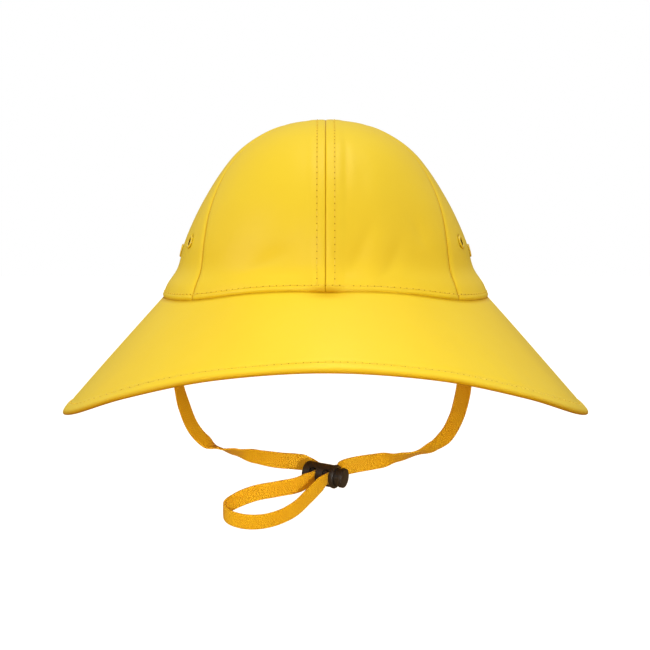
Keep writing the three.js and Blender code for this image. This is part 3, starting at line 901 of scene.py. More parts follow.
def crown_crease_shade(azimuth, level, degree):
    """How much of the seam's painted shade a place has."""
    turn = abs(folded(azimuth))
    centre = min(turn, 180 - turn) * degree
    plain = to_plain_seam(turn, level, degree)
    high = above_seam(azimuth, level)
    lump = 0
    if turn < LUMP_WITHIN:
        lump = bump(turn * degree - SEAM_LUMP["shift"], SEAM_LUMP["half_width"])
    return max(
        CREASE_SHADE["centre"] * bump(centre, CREASE_SHADE["centre_reach"]),
        bump(plain, CREASE_SHADE["plain_reach"]),
        bump(high, CREASE_SHADE["brim_reach"]),
        CREASE_SHADE["lump"] * lump * bump(high, CREASE_SHADE["lump_reach"]),
    )


def eyelet_place(side, which):
    azimuth, level = EYELET_PLACES[which]
    normal, _ = crown_frame(side * azimuth, level)
    point = smooth_crown(side * azimuth, level)
    return point - normal * dent_depth(side * azimuth, level), normal


def cut_eyelet_holes(bm, side):
    """Opens the cloth under each eyelet's flange."""
    for which in EYELET_PLACES:
        middle, normal = eyelet_place(side, which)
        near = [
            face for face in bm.faces
            if (face.calc_center_median() - middle).length < EYELET_CLEARANCE
        ]
        bmesh.ops.delete(bm, geom=near, context="FACES")
        for vert in bm.verts:
            offset = vert.co - middle
            if vert.is_boundary and offset.length < EYELET["flange"]:
                flat = offset - normal * offset.dot(normal)
                vert.co += flat.normalized() * (EYELET_CLEARANCE - flat.length)


class HAT_OT_crown(bpy.types.Operator):
    """Builds the six sewn panels of the crown"""

    bl_idname = "sun_hat.crown"
    bl_label = "Crown panels"

    def execute(self, context):
        cloth = finish_of("Yellow coated cloth")
        for side_name, side in SIDES.items():
            for part, (first, last) in SEAM_AZIMUTHS.items():
                bm = bmesh.new()
                crease = bm.verts.layers.float.new("crease")
                bmesh.ops.create_grid(
                    bm, x_segments=PANEL_ACROSS, y_segments=PANEL_UP, size=0.5
                )
                for vert in bm.verts:
                    level = TIP_LEVEL * (vert.co.y + 0.5)
                    place = vert.co.x + 0.5
                    share = panel_share(place if side > 0 else 1 - place)
                    width = max(ring_at(round(level, 6))["half_width"], LEAST_RING)
                    inset = math.degrees(PANEL_INSET / width)
                    azimuth = side * mix(
                        seam_azimuth(first, level) + inset,
                        seam_azimuth(last, level) - inset,
                        share,
                    )
                    normal, degree = crown_frame(azimuth, level)
                    lift = crown_relief(azimuth, level, degree)
                    # Painted shade in the seams' creases and along the crown's lower edge
                    vert[crease] = crown_crease_shade(azimuth, level, degree)
                    vert.co = smooth_crown(azimuth, level) + normal * lift
                    edge = bump(above_seam(azimuth, level), EDGE_DROP["reach"])
                    vert.co.z -= EDGE_DROP["depth"] * edge
                if part == "side":
                    cut_eyelet_holes(bm, side)
                node = f"panel_{part}_{side_name}"
                panel = new_piece(f"crown_{node}", bm, cloth)
                wall = panel.modifiers.new("Cloth", "SOLIDIFY")
                wall.thickness = context.scene.hat_sewing.wall
                wall.offset = -1
                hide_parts(node)
                width, length, area = PANEL_CUTS[part]
        return {"FINISHED"}


class HAT_OT_brim(bpy.types.Operator):
    """Builds the sloping brim with its turned hem"""

    bl_idname = "sun_hat.brim"
    bl_label = "Brim"

    def section(self):
        """The brim's section: which part a row is in, its share of it and its lift, in mm."""
        half, fat = BRIM_SHEET / 2, HEM["thickness"] / 2
        upper = [("sheet", i / BRIM_STEPS, half) for i in range(BRIM_STEPS + 1)]
        for i in range(1, HEM["band_steps"] + 1):
            share = i / HEM["band_steps"]
            upper.append(("hem", share, mix(half, fat, smoothstep(share, 0, 0.3))))
        nose = []
        for i in range(1, HEM["nose_steps"]):
            a = math.pi * i / HEM["nose_steps"]
            nose.append(("nose", math.sin(a), fat * math.cos(a)))
        lower = [(part, share, -lift) for part, share, lift in reversed(upper)]
        return upper + nose + lower

    def execute(self, context):
        bm = bmesh.new()
        crease = bm.verts.layers.float.new("crease")
        rows = self.section()
        # The section is turned at this distance, one unit a row, and then laid on the brim.
        away = 10
        spin(bm, [(away + i, 0, 0) for i in range(len(rows))], (0, 0, 1), BRIM_ROUND)
        fat = HEM["thickness"] / 2
        for vert in bm.verts:
            azimuth = math.degrees(math.atan2(vert.co.x, -vert.co.y))
            row = round(math.hypot(vert.co.x, vert.co.y)) - away
            part, share, lift = rows[row]
            root, edge = brim_ends(round(azimuth % 360, 5))
            length = (edge - root).length
            from_edge = {
                "sheet": length - share * (length - HEM["width"]),
                "hem": HEM["width"] - share * (HEM["width"] - HEM["nose"]),
                "nose": HEM["nose"] * (1 - share),
            }[part]
            from_seam = length - from_edge - BRIM_TUCK
            # Painted shade along the brim seam, below the end of the centre seam and round the hem's
            # nose
            shade = BRIM_CREASE_SHADE["seam"] * bump(max(from_seam, 0), BRIM_CREASE_SHADE["seam_reach"])
            shade += lump_depth(azimuth, from_seam) / SEAM_LUMP["depth"] * BRIM_CREASE_SHADE["lump"]
            if part == "nose":
                shade = HEM_SHADE * smoothstep(math.acos(lift / fat), 0, HEM_SHADE_TURN)
            vert[crease] = min(shade, 1) if lift > 0 or part == "nose" else 0
            vert.co, _ = brim_place(azimuth, from_edge, lift, upper=row * 2 < len(rows))
        bmesh.ops.recalc_face_normals(bm, faces=bm.faces)
        cloth = finish_of("Yellow coated cloth")
        brim = new_piece("brim_cloth", bm, cloth)
        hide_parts("brim")
        return {"FINISHED"}


# Stitches
STITCH_ROUND = 8
STITCH_RINGS = 6
# How far a thread's middle is above the cloth, as a share of its thickness
THREAD_LIFT = 0.3
# Half the height of a needle hole's bead of painted shade, in mm
HOLE_HALF_HEIGHT = 0.17
# How a row's level above the seam is found: the level to start below, and the halvings
HIGHEST_SEARCH = 0.2
HALVINGS = 14
# The rows beside the centre seams end at this level, and run through this many steps.
CENTRE_ROW_TOP = 0.95
CENTRE_ROW_STEPS = 120


def row_stitches(places, pitch):
    """Evenly spaced stitches along a row of (point, normal): middle, along and normal."""
    points = [point for point, _ in places]
    run = [0.0]
    for before, after in zip(points, points[1:]):
        run.append(run[-1] + (after - before).length)
    count = max(int(run[-1] / pitch), 1)
    stitches = []
    for i in range(count):
        at = (i + 0.5) * run[-1] / count
        k = min(max(bisect_left(run, at), 1), len(points) - 1)
        share = (at - run[k - 1]) / (run[k] - run[k - 1])
        along = (points[k] - points[k - 1]).normalized()
        normal = places[k - 1][1].lerp(places[k][1], share).normalized()
        stitches.append((points[k - 1].lerp(points[k], share), along, normal))
    return stitches


def stitch_bead():
    """A round bead of unit size, which every stitch and every needle hole's bead of painted shade is
    shaped from.
    """
    bm = bmesh.new()
    bmesh.ops.create_uvsphere(
        bm, u_segments=STITCH_ROUND, v_segments=STITCH_RINGS, radius=1
    )
    bead = bpy.data.meshes.new("stitch_bead")
    bm.to_mesh(bead)
    bm.free()
    return bead


def add_bead(bm, bead, middle, turn, half_sizes):
    copy = bead.copy()
    copy.transform(Matrix.Translation(middle) @ turn @ Matrix.Diagonal((*half_sizes, 1)))
    bm.from_mesh(copy)
    bpy.data.meshes.remove(copy)


def sewn_rows(context, name, rows):
    """Makes the thread of some stitched rows, and a dark bead of painted shade in each needle hole.
    """
    sewing = context.scene.hat_sewing
    pitch, length = sewing.pitch / MM, sewing.stitch / MM
    thread, hole = sewing.thread / MM, sewing.hole / MM
    threads, hole_shade_beads = bmesh.new(), bmesh.new()
    bead = stitch_bead()
    for places in rows:
        for middle, along, normal in row_stitches(places, pitch):
            across = normal.cross(along).normalized()
            turn = Matrix((along, across, normal)).transposed().to_4x4()
            add_bead(
                threads, bead, middle + normal * thread * THREAD_LIFT, turn,
                (length / 2, thread / 2, thread / 2),
            )
            # A dark bead of painted shade stands where the needle hole is.
            add_bead(
                hole_shade_beads, bead, middle + along * pitch / 2, turn,
                (hole / 2, hole / 2, HOLE_HALF_HEIGHT),
            )
    bpy.data.meshes.remove(bead)
    thread_finish, hole_shade_finish = finish_of("Yellow sewing thread"), finish_of("Needle hole")
    new_piece(f"{name}_thread", threads, thread_finish)
    new_piece(f"{name}_needle_holes", hole_shade_beads, hole_shade_finish)


def level_above_seam(azimuth, height):
    """The level that is a height in mm above the brim seam, found by halving."""
    low, high = 0.0, HIGHEST_SEARCH
    for _ in range(HALVINGS):
        middle = (low + high) / 2
        if above_seam(azimuth, middle) < height:
            low = middle
        else:
            high = middle
    return high


class HAT_OT_topstitching(bpy.types.Operator):
    """Sews the rows above the brim seam, beside the centre seams and along the brim's hem"""

    bl_idname = "sun_hat.topstitching"
    bl_label = "Topstitching"

    def execute(self, context):
        seam_row = [crown_place(a, level_above_seam(a, CROWN_ROW)) for a in range(361)]
        sewn_rows(context, "crown_seam_stitching", [seam_row])
        rows = []
        for middle, towards in ((0, 1), (180, -1)):
            for side, distance in CENTRE_ROWS.items():
                places = []
                first = level_above_seam(middle, CROWN_ROW)
                for i in range(CENTRE_ROW_STEPS + 1):
                    level = mix(first, CENTRE_ROW_TOP, i / CENTRE_ROW_STEPS)
                    _, degree = crown_frame(middle, level)
                    azimuth = middle + towards * side * distance / degree
                    places.append(crown_place(azimuth, level))
                rows.append(places)
        sewn_rows(context, "centre_seam_stitching", rows)
        hem_row = [brim_place(a, HEM["width"], BRIM_SHEET / 2) for a in range(361)]
        sewn_rows(context, "brim_hem_stitching", [hem_row])
        return {"FINISHED"}


class HAT_OT_eyelets(bpy.types.Operator):
    """Builds the four painted eyelets"""

    bl_idname = "sun_hat.eyelets"
    bl_label = "Eyelets"

    def execute(self, context):
        paint = finish_of("Yellow painted metal")
        wall = context.scene.hat_sewing.wall / MM
        outside, inside = PIECE_GAP, -wall - PIECE_GAP - EYELET["room"]
        roll = (EYELET["flange"] - EYELET["hole"]) / 2
        profile = []
        foot = outside - EYELET_SINK
        for i in range(ROLL_STEPS + 1):
            a = math.pi * i / ROLL_STEPS
            profile.append((
                EYELET["hole"] + roll + roll * math.cos(a),
                foot + (EYELET["rise"] + EYELET_SINK) * math.sin(a) ** ROLL_FULLNESS,
            ))
        profile += [
            (EYELET["hole"], inside - EYELET["rise"]),
            (EYELET["flange"], inside - EYELET["rise"]),
            (EYELET["flange"], inside),
            (EYELET["tube"], inside),
            (EYELET["tube"], foot),
        ]
        for side_name, side in SIDES.items():
            for which in EYELET_PLACES:
                bm = bmesh.new()
                inner = bm.verts.layers.float.new("inner")
                spin(bm, [(x, 0, z) for x, z in profile], (0, 0, 1), EYELET_ROUND)
                for vert in bm.verts:
                    # The tube's inside gets the painted shade.
                    if math.hypot(vert.co.x, vert.co.y) < EYELET["hole"] + TUBE_SKIN:
                        vert[inner] = 1
                bmesh.ops.recalc_face_normals(bm, faces=bm.faces)
                middle, normal = eyelet_place(side, which)
                turn = Vector((0, 0, 1)).rotation_difference(normal).to_matrix().to_4x4()
                bmesh.ops.transform(
                    bm, matrix=Matrix.Translation(middle) @ turn, verts=bm.verts
                )
                node = f"eyelet_{which}_{side_name}"
                eyelet = new_piece(f"painted_{node}", bm, paint)
                soften_edges(eyelet, "Rolled edges", 0.0002, 50)
                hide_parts(node)
        return {"FINISHED"}


# Lock frame: x along the axis to the button, y out of the slots, z down the slots
slot_out = Vector((0, -math.cos(math.radians(SLOT_TIP)), -math.sin(math.radians(SLOT_TIP))))
slot_out = (slot_out - LOCK_AXIS * slot_out.dot(LOCK_AXIS)).normalized()
slot_down = LOCK_AXIS.cross(slot_out).normalized()
LOCK_FRAME = Matrix.Translation(LOCK_MIDDLE) @ Matrix(
    (LOCK_AXIS, slot_out, slot_down)
).transposed().to_4x4()
SLOT_PLACES = (-SLOT_SPACING / 2, SLOT_SPACING / 2)
BARREL_BACK = SLOT_PLACES[0] - BARREL["to_far_slot"]
BARREL_MOUTH = SLOT_PLACES[1] + BARREL["to_mouth"]


def turned_solid(pairs):
    """A solid turned round the lock's axis from (along, radius) pairs."""
    bm = bmesh.new()
    places = [(along, radius, 0) for along, radius in pairs]
    spin(bm, places, (1, 0, 0), ROUND_STEPS, closed=False)
    bmesh.ops.remove_doubles(bm, verts=bm.verts, dist=0.001)
    bmesh.ops.recalc_face_normals(bm, faces=bm.faces)
    return bm


def rounded(pairs, along, radius, edge, towards, steps=6):
    for i in range(1, steps):
        a = math.pi / 2 * i / steps
        out = a if towards < 0 else math.pi / 2 - a
        pairs.append((
            along - towards * edge * (1 - math.cos(out)), radius - edge + edge * math.sin(out)
        ))


def slot_cutter(along, width, height, corner):
    bm = bmesh.new()
    bmesh.ops.create_cube(bm, size=1)
    bmesh.ops.scale(bm, vec=(width, 4 * BARREL["radius"], height), verts=bm.verts)
    through = [
        edge for edge in bm.edges
        if abs(edge.verts[0].co.y - edge.verts[1].co.y) > BARREL["radius"]
    ]
    bmesh.ops.bevel(
        bm, geom=through, offset=corner, offset_type="OFFSET", affect="EDGES", segments=5,
        profile=0.5, material=-1,
    )
    bmesh.ops.translate(bm, vec=(along, 0, 0), verts=bm.verts)
    return bm


def slotted(name, solid, cutters, body):
    """Cuts slots through a turned solid, and puts it in its place in the lock."""
    material = finish_of("Black moulded plastic")
    piece = new_piece(name, solid, material, body=None, smooth=False)
    for i, cutter in enumerate(cutters):
        tool = new_piece(f"{name}_cutter_{i}", cutter, material, body=None, smooth=False)
        cut = piece.modifiers.new("Slot", "BOOLEAN")
        cut.operation = "DIFFERENCE"
        cut.solver = "EXACT"
        cut.object = tool
        bpy.context.view_layer.update()
        made = bpy.data.meshes.new_from_object(
            piece.evaluated_get(bpy.context.evaluated_depsgraph_get())
        )
        piece.modifiers.clear()
        piece.data = made
        bpy.data.objects.remove(tool)
    if len(piece.data.polygons) < ROUND_STEPS:
        raise RuntimeError(f"{name} has lost its surface in the slots")
    place = LOCK_FRAME.copy()
    place.translation *= MM
    piece.data.transform(place)
    piece.data.shade_smooth()
    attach(piece, body)
    soften_edges(piece, "Moulded edges", 0.00032, 42, harden=True)
    return piece


class HAT_OT_lock_barrel(bpy.types.Operator):
    """Builds the lock's barrel with its two slots"""

    bl_idname = "sun_hat.lock_barrel"
    bl_label = "Lock barrel"

    def execute(self, context):
        b = BARREL
        pairs = [(BARREL_BACK, 0), (BARREL_BACK, b["radius"] - b["edge"])]
        rounded(pairs, BARREL_BACK, b["radius"], b["edge"], -1)
        pairs += [
            (BARREL_BACK + b["edge"], b["radius"]),
            (BARREL_MOUTH - b["rim_width"] - b["rim_bevel"], b["radius"]),
            (BARREL_MOUTH - b["rim_width"], b["rim"]),
            (BARREL_MOUTH - b["rim_bevel"], b["rim"]),
            (BARREL_MOUTH, b["radius"]),
            (BARREL_MOUTH, b["bore"]),
            (BARREL_BACK + b["end"], b["bore"]),
            (BARREL_BACK + b["end"], 0),
        ]
        cutters = [
            slot_cutter(along, SLOT["width"], SLOT["height"], SLOT["corner"])
            for along in SLOT_PLACES
        ]
        barrel = slotted(
            "lock_barrel_moulding", turned_solid(pairs), cutters, "hat"
        )
        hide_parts("lock_barrel")
        return {"FINISHED"}


class HAT_OT_lock_button(bpy.types.Operator):
    """Builds the sprung button that slides in the barrel"""

    bl_idname = "sun_hat.lock_button"
    bl_label = "Lock button"

    def execute(self, context):
        b = BUTTON
        head_back = BARREL_MOUTH + b["gap"]
        face = head_back + b["head"]
        tip = SLOT_PLACES[0] + b["slot_shift"] - b["slot_width"] / 2 - b["tip"]
        pairs = [(tip, 0), (tip, b["stem"]), (head_back, b["stem"])]
        pairs.append((head_back, b["radius"] - b["edge"]))
        rounded(pairs, head_back, b["radius"], b["edge"], -1)
        pairs += [(head_back + b["edge"], b["radius"]), (face - b["edge"], b["radius"])]
        rounded(pairs, face, b["radius"], b["edge"], 1)
        pairs += [(face, b["radius"] - b["edge"]), (face, 0)]
        cutters = [
            slot_cutter(
                along + b["slot_shift"], b["slot_width"], b["slot_height"], b["slot_corner"]
            )
            for along in SLOT_PLACES
        ]
        button = slotted(
            "lock_button_moulding", turned_solid(pairs), cutters, "button"
        )
        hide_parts("lock_button")
        return {"FINISHED"}


# Chin strap: the route's points, and the direction across the webbing there, in mm
def lock_row(along, out, down=0.0):
    return (*(LOCK_FRAME @ Vector((along, out, down))), *slot_down)


def strap_rows():
    clamped = [along + CLAMPED["shift"] for along in SLOT_PLACES]
    return (
        (-81.8, 3, 13, 0, 1, 0),
        (-86.5, 3, 4.5, 0, 1, 0),
        (-87.6, 2, -9, 0.1, 1, 0),
        (-86.4, 0, -30, 0.35, 0.9, 0),
        (-83.6, -2, -50, 0.5, 0.85, 0),
        (-80.0, -3, -64, 0.65, 0.7, 0.1),
        (-75.1, -3, -75.5, 0.65, 0.75, 0.3),
        (-68.3, -2, -83.2, 0.55, 0.75, 0.35),
        (-60.5, -1, -87.2, 0.1, 1, -0.1),
        (-51, 0, -89.6, -0.1, 0.9, -0.5),
        (-40, 1, -92.2, -0.1, 0.45, -0.9),
        (-27, 2, -94.5, -0.05, 0.1, -1),
        (-17, 3, -95.4, 0, 0, -1),
        (-10.6, 2.4, -96.3, 0, 0, -1),
        lock_row(-7.8, -10.4, 1.1),
        lock_row(-4.6, -9.6, 1.2),
        *(lock_row(clamped[0], out, CLAMPED["drop"]) for out in (-7.2, -4, 0, 4, 8)),
        (-15.5, -23.5, -105.3, 0.1, 0.2, -1),
        (-27, -27, -107.2, 0.1, 0.2, -1),
        (-40, -29, -109.5, 0.1, 0.2, -1),
        (-50.5, -31, -113.5, 0.05, 0.25, -1),
        (-56.3, -37, -117, 0, 0.35, -1),
        (-54, -44, -120.2, -0.05, 0.4, -1),
        (-46, -48, -122.4, -0.1, 0.4, -1),
        (-36, -48.5, -122.6, -0.1, 0.4, -1),
        (-26, -45, -120.7, 0, 0.4, -1),
        (-16.8, -38.5, -116.7, 0.1, 0.33, -1),
        (-9.2, -31, -110.5, 0.1, 0.28, -1),
        *(lock_row(clamped[1], out, CLAMPED["drop"]) for out in (8, 4, 0, -4, -7.4)),
        (9.0, -3.2, -98.9, 0, 0, -1),
        (12.5, -0.9, -97.8, 0, 0, -1),
        (19, -0.7, -96.4, 0, 0, -1),
        (30.5, -1, -94.5, 0, 0.25, -1),
        (41, -0.5, -92.7, 0, 0.8, -0.58),
        (51.5, -0.5, -90.2, 0.1, 0.95, -0.3),
        (61, -1, -86.3, 0.35, 0.7, -0.6),
        (68.5, -1.5, -80.3, 0.66, 0.4, -0.6),
        (74.2, -2, -70, 0.88, 0.35, -0.3),
        (77.5, -2, -58.5, 0.95, 0.3, -0.1),
        (79.8, -1, -45, 0.9, 0.4, 0),
        (83.8, 0, -27, 0.6, 0.8, 0),
        (87.3, 2, -9, 0.1, 1, 0),
        (86.5, 3, 4.5, 0, 1, 0),
        (81.8, 3, 13, 0, 1, 0),
    )


def route_point(points, place):
    """The route at a place from 0 to 1: a spline whose knots follow the points' spacing."""
    at = min(max(place, 0), 1) * (len(points) - 1)
    i = min(int(at), len(points) - 2)
    start, end = points[i], points[i + 1]
    before = points[i - 1] if i else start * 2 - end
    after = points[i + 2] if i + 2 < len(points) else end * 2 - start
    first, middle, last = (
        max(step.length, 1e-4) ** 0.5 for step in (start - before, end - start, after - end)
    )
    leave = (start - before) / first - (end - before) / (first + middle) + (end - start) / middle
    arrive = (end - start) / middle - (after - start) / (middle + last) + (after - end) / last
    return cubic(start, end, leave * middle, arrive * middle, at - i)


# The webbing's section: points round it, and how square its edges are
WEB_ROUND = 28
WEB_SQUARENESS = 0.42
RINGS_PER_RIB = 4
RIB_HEIGHT = 0.035
# The route is measured through this many samples from one row to the next, and its direction
# is taken over this share of a sample to each side.
SAMPLES_PER_ROW = 40
DIRECTION_REACH = 0.4


def strap_stations(rows, count):
    """Evenly spaced stations on the route: point, direction, across direction and run in mm."""
    points = [Vector(row[:3]) for row in rows]
    across = [Vector(row[3:]).normalized() for row in rows]
    fine = SAMPLES_PER_ROW * (len(rows) - 1)
    samples = [route_point(points, i / fine) for i in range(fine + 1)]
    run = [0.0]
    for before, after in zip(samples, samples[1:]):
        run.append(run[-1] + (after - before).length)
    stations = []
    for i in range(count + 1):
        at = run[-1] * i / count
        k = min(max(bisect_left(run, at), 1), fine)
        share = (at - run[k - 1]) / (run[k] - run[k - 1])
        place = (k - 1 + share) / fine
        point = route_point(points, place)
        ahead = route_point(points, min(place + DIRECTION_REACH / fine, 1))
        behind = route_point(points, max(place - DIRECTION_REACH / fine, 0))
        along = (ahead - behind).normalized()
        row = place * (len(rows) - 1)
        j = min(int(row), len(rows) - 2)
        wide = across[j].lerp(across[j + 1], smoothstep(row - j, 0, 1))
        wide = (wide - along * wide.dot(along)).normalized()
        stations.append((point, along, wide, at))
    return stations


class HAT_OT_strap(bpy.types.Operator):
    """Builds the ribbed webbing of the chin strap"""

    bl_idname = "sun_hat.strap"
    bl_label = "Chin strap"

    def execute(self, context):
        strap, finish = context.scene.hat_strap, context.scene.hat_finish
        rows = strap_rows()
        rib = finish.rib_pitch / MM
        length = strap_stations(rows, 1)[-1][3]
        count = int(length / rib) * RINGS_PER_RIB
        stations = strap_stations(rows, count)
        bm = bmesh.new()
        across_layer = bm.verts.layers.float.new("across")
        bmesh.ops.create_cone(
            bm, cap_ends=True, segments=WEB_ROUND, radius1=1, radius2=1, depth=1
        )
        uprights = [
            edge for edge in bm.edges
            if abs(edge.verts[0].co.z - edge.verts[1].co.z) > 0.5
        ]
        bmesh.ops.subdivide_edges(bm, edges=uprights, cuts=count - 1, use_grid_fill=True)
        unlock = LOCK_FRAME.inverted()
        for vert in bm.verts:
            at = round((vert.co.z + 0.5) * count)
            point, along, wide, run = stations[at]
            inside = unlock @ point
            aside = max(BARREL_BACK - inside.x, inside.x - BARREL_MOUTH)
            away = max(abs(inside.y) - BARREL["radius"], aside)
            tight = 1 - smoothstep(away, CLAMPED["full"], CLAMPED["free"])
            width = mix(strap.width / MM, CLAMPED["width"], tight)
            thickness = mix(strap.thickness / MM, CLAMPED["thickness"], tight)
            turn = math.atan2(vert.co.y, vert.co.x)
            x = math.copysign(abs(math.cos(turn)) ** WEB_SQUARENESS, math.cos(turn))
            y = math.copysign(abs(math.sin(turn)) ** WEB_SQUARENESS, math.sin(turn))
            ribbed = RIB_HEIGHT * math.cos(math.tau * run / rib) * (1 - tight)
            normal = along.cross(wide)
            vert[across_layer] = x * width / 2
            vert.co = (
                point
                + wide * (x * (width / 2 + ribbed))
                + normal * (y * (thickness / 2 + ribbed))
            )
            vert.index = at
        uv = bm.loops.layers.uv.new("webbing")
        for face in bm.faces:
            for loop in face.loops:
                run = stations[loop.vert.index][3]
                loop[uv].uv = (loop.vert[across_layer], run)
        bmesh.ops.recalc_face_normals(bm, faces=bm.faces)
        webbing = new_piece(
            "chin_strap_webbing", bm, finish_of("Orange strap webbing")
        )
        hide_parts("chin_strap")
        return {"FINISHED"}


# Stage: where the camera and the lights stand, in metres
LOOK_AT = Vector((-0.0003, 0, -0.017))
CAMERA_DISTANCE = 1.5
CAMERA_ELEVATION = 4
FOCAL_PIXELS = 2640
PICTURE_PIXELS = 650
SENSOR = 36
FLOOR_REACH = 6
# Soft round lights: name, place and width
LIGHTS = (
    ("front", (-0.35, -1.5, 0.35), 0.9),
    ("side", (-1.45, -0.6, 0.45), 1.0),
    ("far_side", (1.3, -0.9, 0.35), 1.0),
    ("top", (0.1, -0.1, 1.5), 1.1),
)
# A soft low spot lights the lock and the strap's loop.
SPOT_PLACE = Vector((0.3, -1.3, -0.13))
SPOT_TARGET = Vector((-0.015, -0.03, -0.118))
SPOT_ANGLE = 8.6
SPOT_SIZE = 0.12
# The surrounding light grows between these heights of its direction.
SKY_FROM = 0.02
SKY_TO = 0.22
# How much of the surrounding light the hat's reflections show
MIRRORED_SHARE = 0.5


def look_at(place, target):
    return (target - place).to_track_quat("-Z", "Y").to_matrix().to_4x4()


def place_light(context, data, place, target):
    lamp = bpy.data.objects.new(f"light_{data.name}", data)
    lamp.matrix_world = Matrix.Translation(place) @ look_at(place, target)
    lamp.visible_glossy = data.name != "far_side"
    context.scene.collection.objects.link(lamp)


def add_floor(settings):
    """A floor that looks white and throws warm light back."""
    bm = bmesh.new()
    bmesh.ops.create_grid(bm, x_segments=1, y_segments=1, size=FLOOR_REACH / MM)
    bmesh.ops.translate(bm, vec=(0, 0, settings.floor_height / MM), verts=bm.verts)
    material, tree, bsdf = new_material(
        "Pale floor", Roughness=0.9, Emission_Color=(1, 1, 1, 1)
    )
    paler = [0.97 * value for value in settings.floor_colour]
    tones = drifting(tree, 2.0, settings.floor_colour, paler, (-600, 0))
    seen_directly = add_node(tree, "ShaderNodeLightPath", (-600, 300))
    connect(
        tree,
        (tones.outputs["Color"], bsdf.inputs["Base Color"]),
        (seen_directly.outputs["Is Camera Ray"], bsdf.inputs["Emission Strength"]),
    )
    new_piece("floor", bm, material, body=None, smooth=False)


def light_world(context, settings):
    """Even light that grows from the horizon upwards, white where it is seen directly."""
    world = bpy.data.worlds.new("Pale studio")
    context.scene.world = world
    world.use_nodes = True
    tree = world.node_tree
    background, output = tree.nodes["Background"], tree.nodes["World Output"]
    background.inputs["Color"].default_value = (1, 1, 1, 1)
    around = add_node(tree, "ShaderNodeTexCoord", (-900, 0))
    height = add_node(tree, "ShaderNodeSeparateXYZ", (-700, 0))
    strength = add_node(
        tree, "ShaderNodeMapRange", (-450, 0), From_Min=SKY_FROM, From_Max=SKY_TO,
        To_Min=settings.horizon_light, To_Max=settings.world_light,
    )
    rays = add_node(tree, "ShaderNodeLightPath", (-900, 300))
    mirrored = add_node(
        tree, "ShaderNodeMapRange", (-650, 300), To_Min=1, To_Max=MIRRORED_SHARE
    )
    dimmed = add_node(tree, "ShaderNodeMath", (-250, 0), operation="MULTIPLY")
    seen = add_node(
        tree, "ShaderNodeBackground", (0, -200), Strength=1.0, Color=(1, 1, 1, 1)
    )
    choice = add_node(tree, "ShaderNodeMixShader", (200, 0))
    connect(
        tree,
        (around.outputs["Generated"], height.inputs[0]),
        (height.outputs["Z"], strength.inputs["Value"]),
        (strength.outputs["Result"], dimmed.inputs[0]),
        (rays.outputs["Is Glossy Ray"], mirrored.inputs["Value"]),
        (mirrored.outputs["Result"], dimmed.inputs[1]),
        (dimmed.outputs[0], background.inputs["Strength"]),
        (rays.outputs["Is Camera Ray"], choice.inputs[0]),
        (background.outputs[0], choice.inputs[1]),
        (seen.outputs[0], choice.inputs[2]),
        (choice.outputs[0], output.inputs["Surface"]),
    )


def add_lights(context, settings):
    for name, place, width in LIGHTS:
        data = bpy.data.lights.new(name, "AREA")
        data.shape = "DISK"
        data.size = width
        data.energy = getattr(settings, f"{name}_power")
        place_light(context, data, Vector(place), LOOK_AT)
    data = bpy.data.lights.new("low", "SPOT")
    data.energy = settings.low_power
    data.spot_size = math.radians(SPOT_ANGLE)
    data.spot_blend = 1.0
    data.shadow_soft_size = SPOT_SIZE
    place_light(context, data, SPOT_PLACE, SPOT_TARGET)


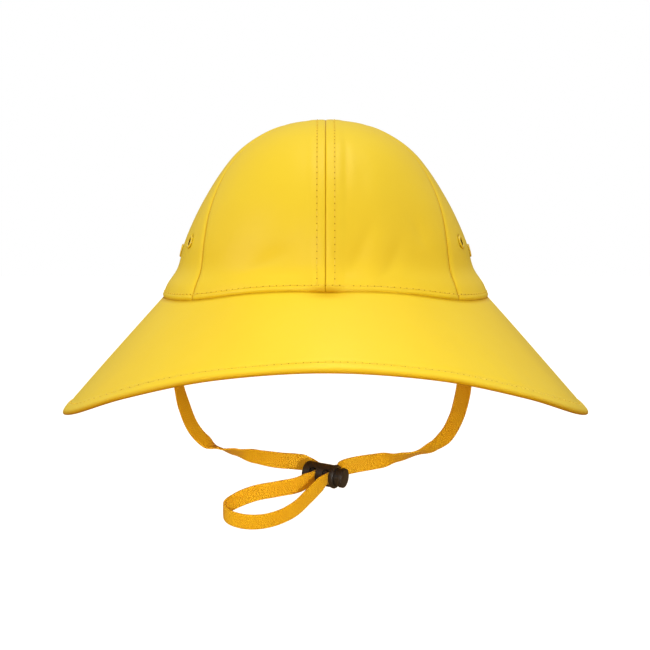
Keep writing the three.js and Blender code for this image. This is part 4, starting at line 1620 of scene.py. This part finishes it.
def add_camera(context):
    data = bpy.data.cameras.new("camera")
    data.sensor_width = SENSOR
    data.lens = FOCAL_PIXELS / PICTURE_PIXELS * SENSOR
    data.clip_start, data.clip_end = 0.01, 50
    camera = bpy.data.objects.new("camera", data)
    tilt = math.radians(CAMERA_ELEVATION)
    place = LOOK_AT + Vector((0, -math.cos(tilt), math.sin(tilt))) * CAMERA_DISTANCE
    camera.matrix_world = Matrix.Translation(place) @ look_at(place, LOOK_AT)
    context.scene.collection.objects.link(camera)
    context.scene.camera = camera


class HAT_OT_stage(bpy.types.Operator):
    """Sets the pale floor, the soft lights and the camera"""

    bl_idname = "sun_hat.stage"
    bl_label = "Stage"

    def execute(self, context):
        settings = context.scene.hat_stage
        add_floor(settings)
        light_world(context, settings)
        add_lights(context, settings)
        add_camera(context)
        context.scene.view_settings.view_transform = "Standard"
        return {"FINISHED"}


class HAT_PT_panel(bpy.types.Panel):
    """Lists the hat's pieces and their settings"""

    bl_idname = "HAT_PT_panel"
    bl_label = "Sun hat"
    bl_space_type = "VIEW_3D"
    bl_region_type = "UI"
    bl_category = "Sun hat"

    def draw(self, context):
        for group in SETTINGS:
            box = self.layout.box()
            settings = getattr(context.scene, group)
            for name in settings.__annotations__:
                box.prop(settings, name)
        for operator in OPERATORS:
            self.layout.operator(operator.bl_idname)


SETTINGS = {
    "hat_finish": HatFinishSettings,
    "hat_sewing": HatSewingSettings,
    "hat_strap": HatStrapSettings,
    "hat_stage": HatStageSettings,
}
OPERATORS = (
    HAT_OT_stage,
    HAT_OT_lock_barrel,
    HAT_OT_lock_button,
    HAT_OT_strap,
    HAT_OT_crown,
    HAT_OT_brim,
    HAT_OT_topstitching,
    HAT_OT_eyelets,
)


def register():
    for made in (*SETTINGS.values(), *OPERATORS, HAT_PT_panel):
        bpy.utils.register_class(made)
    for name, settings in SETTINGS.items():
        setattr(bpy.types.Scene, name, bpy.props.PointerProperty(type=settings))


def unregister():
    for name in SETTINGS:
        delattr(bpy.types.Scene, name)
    for made in (HAT_PT_panel, *reversed(OPERATORS), *reversed(SETTINGS.values())):
        bpy.utils.unregister_class(made)


def main():
    register()
    bpy.ops.sun_hat.stage()
    bpy.ops.sun_hat.lock_barrel()
    bpy.ops.sun_hat.lock_button()
    bpy.ops.sun_hat.strap()
    bpy.ops.sun_hat.crown()
    bpy.ops.sun_hat.brim()
    bpy.ops.sun_hat.topstitching()
    bpy.ops.sun_hat.eyelets()


if __name__ == "__main__":
    main()
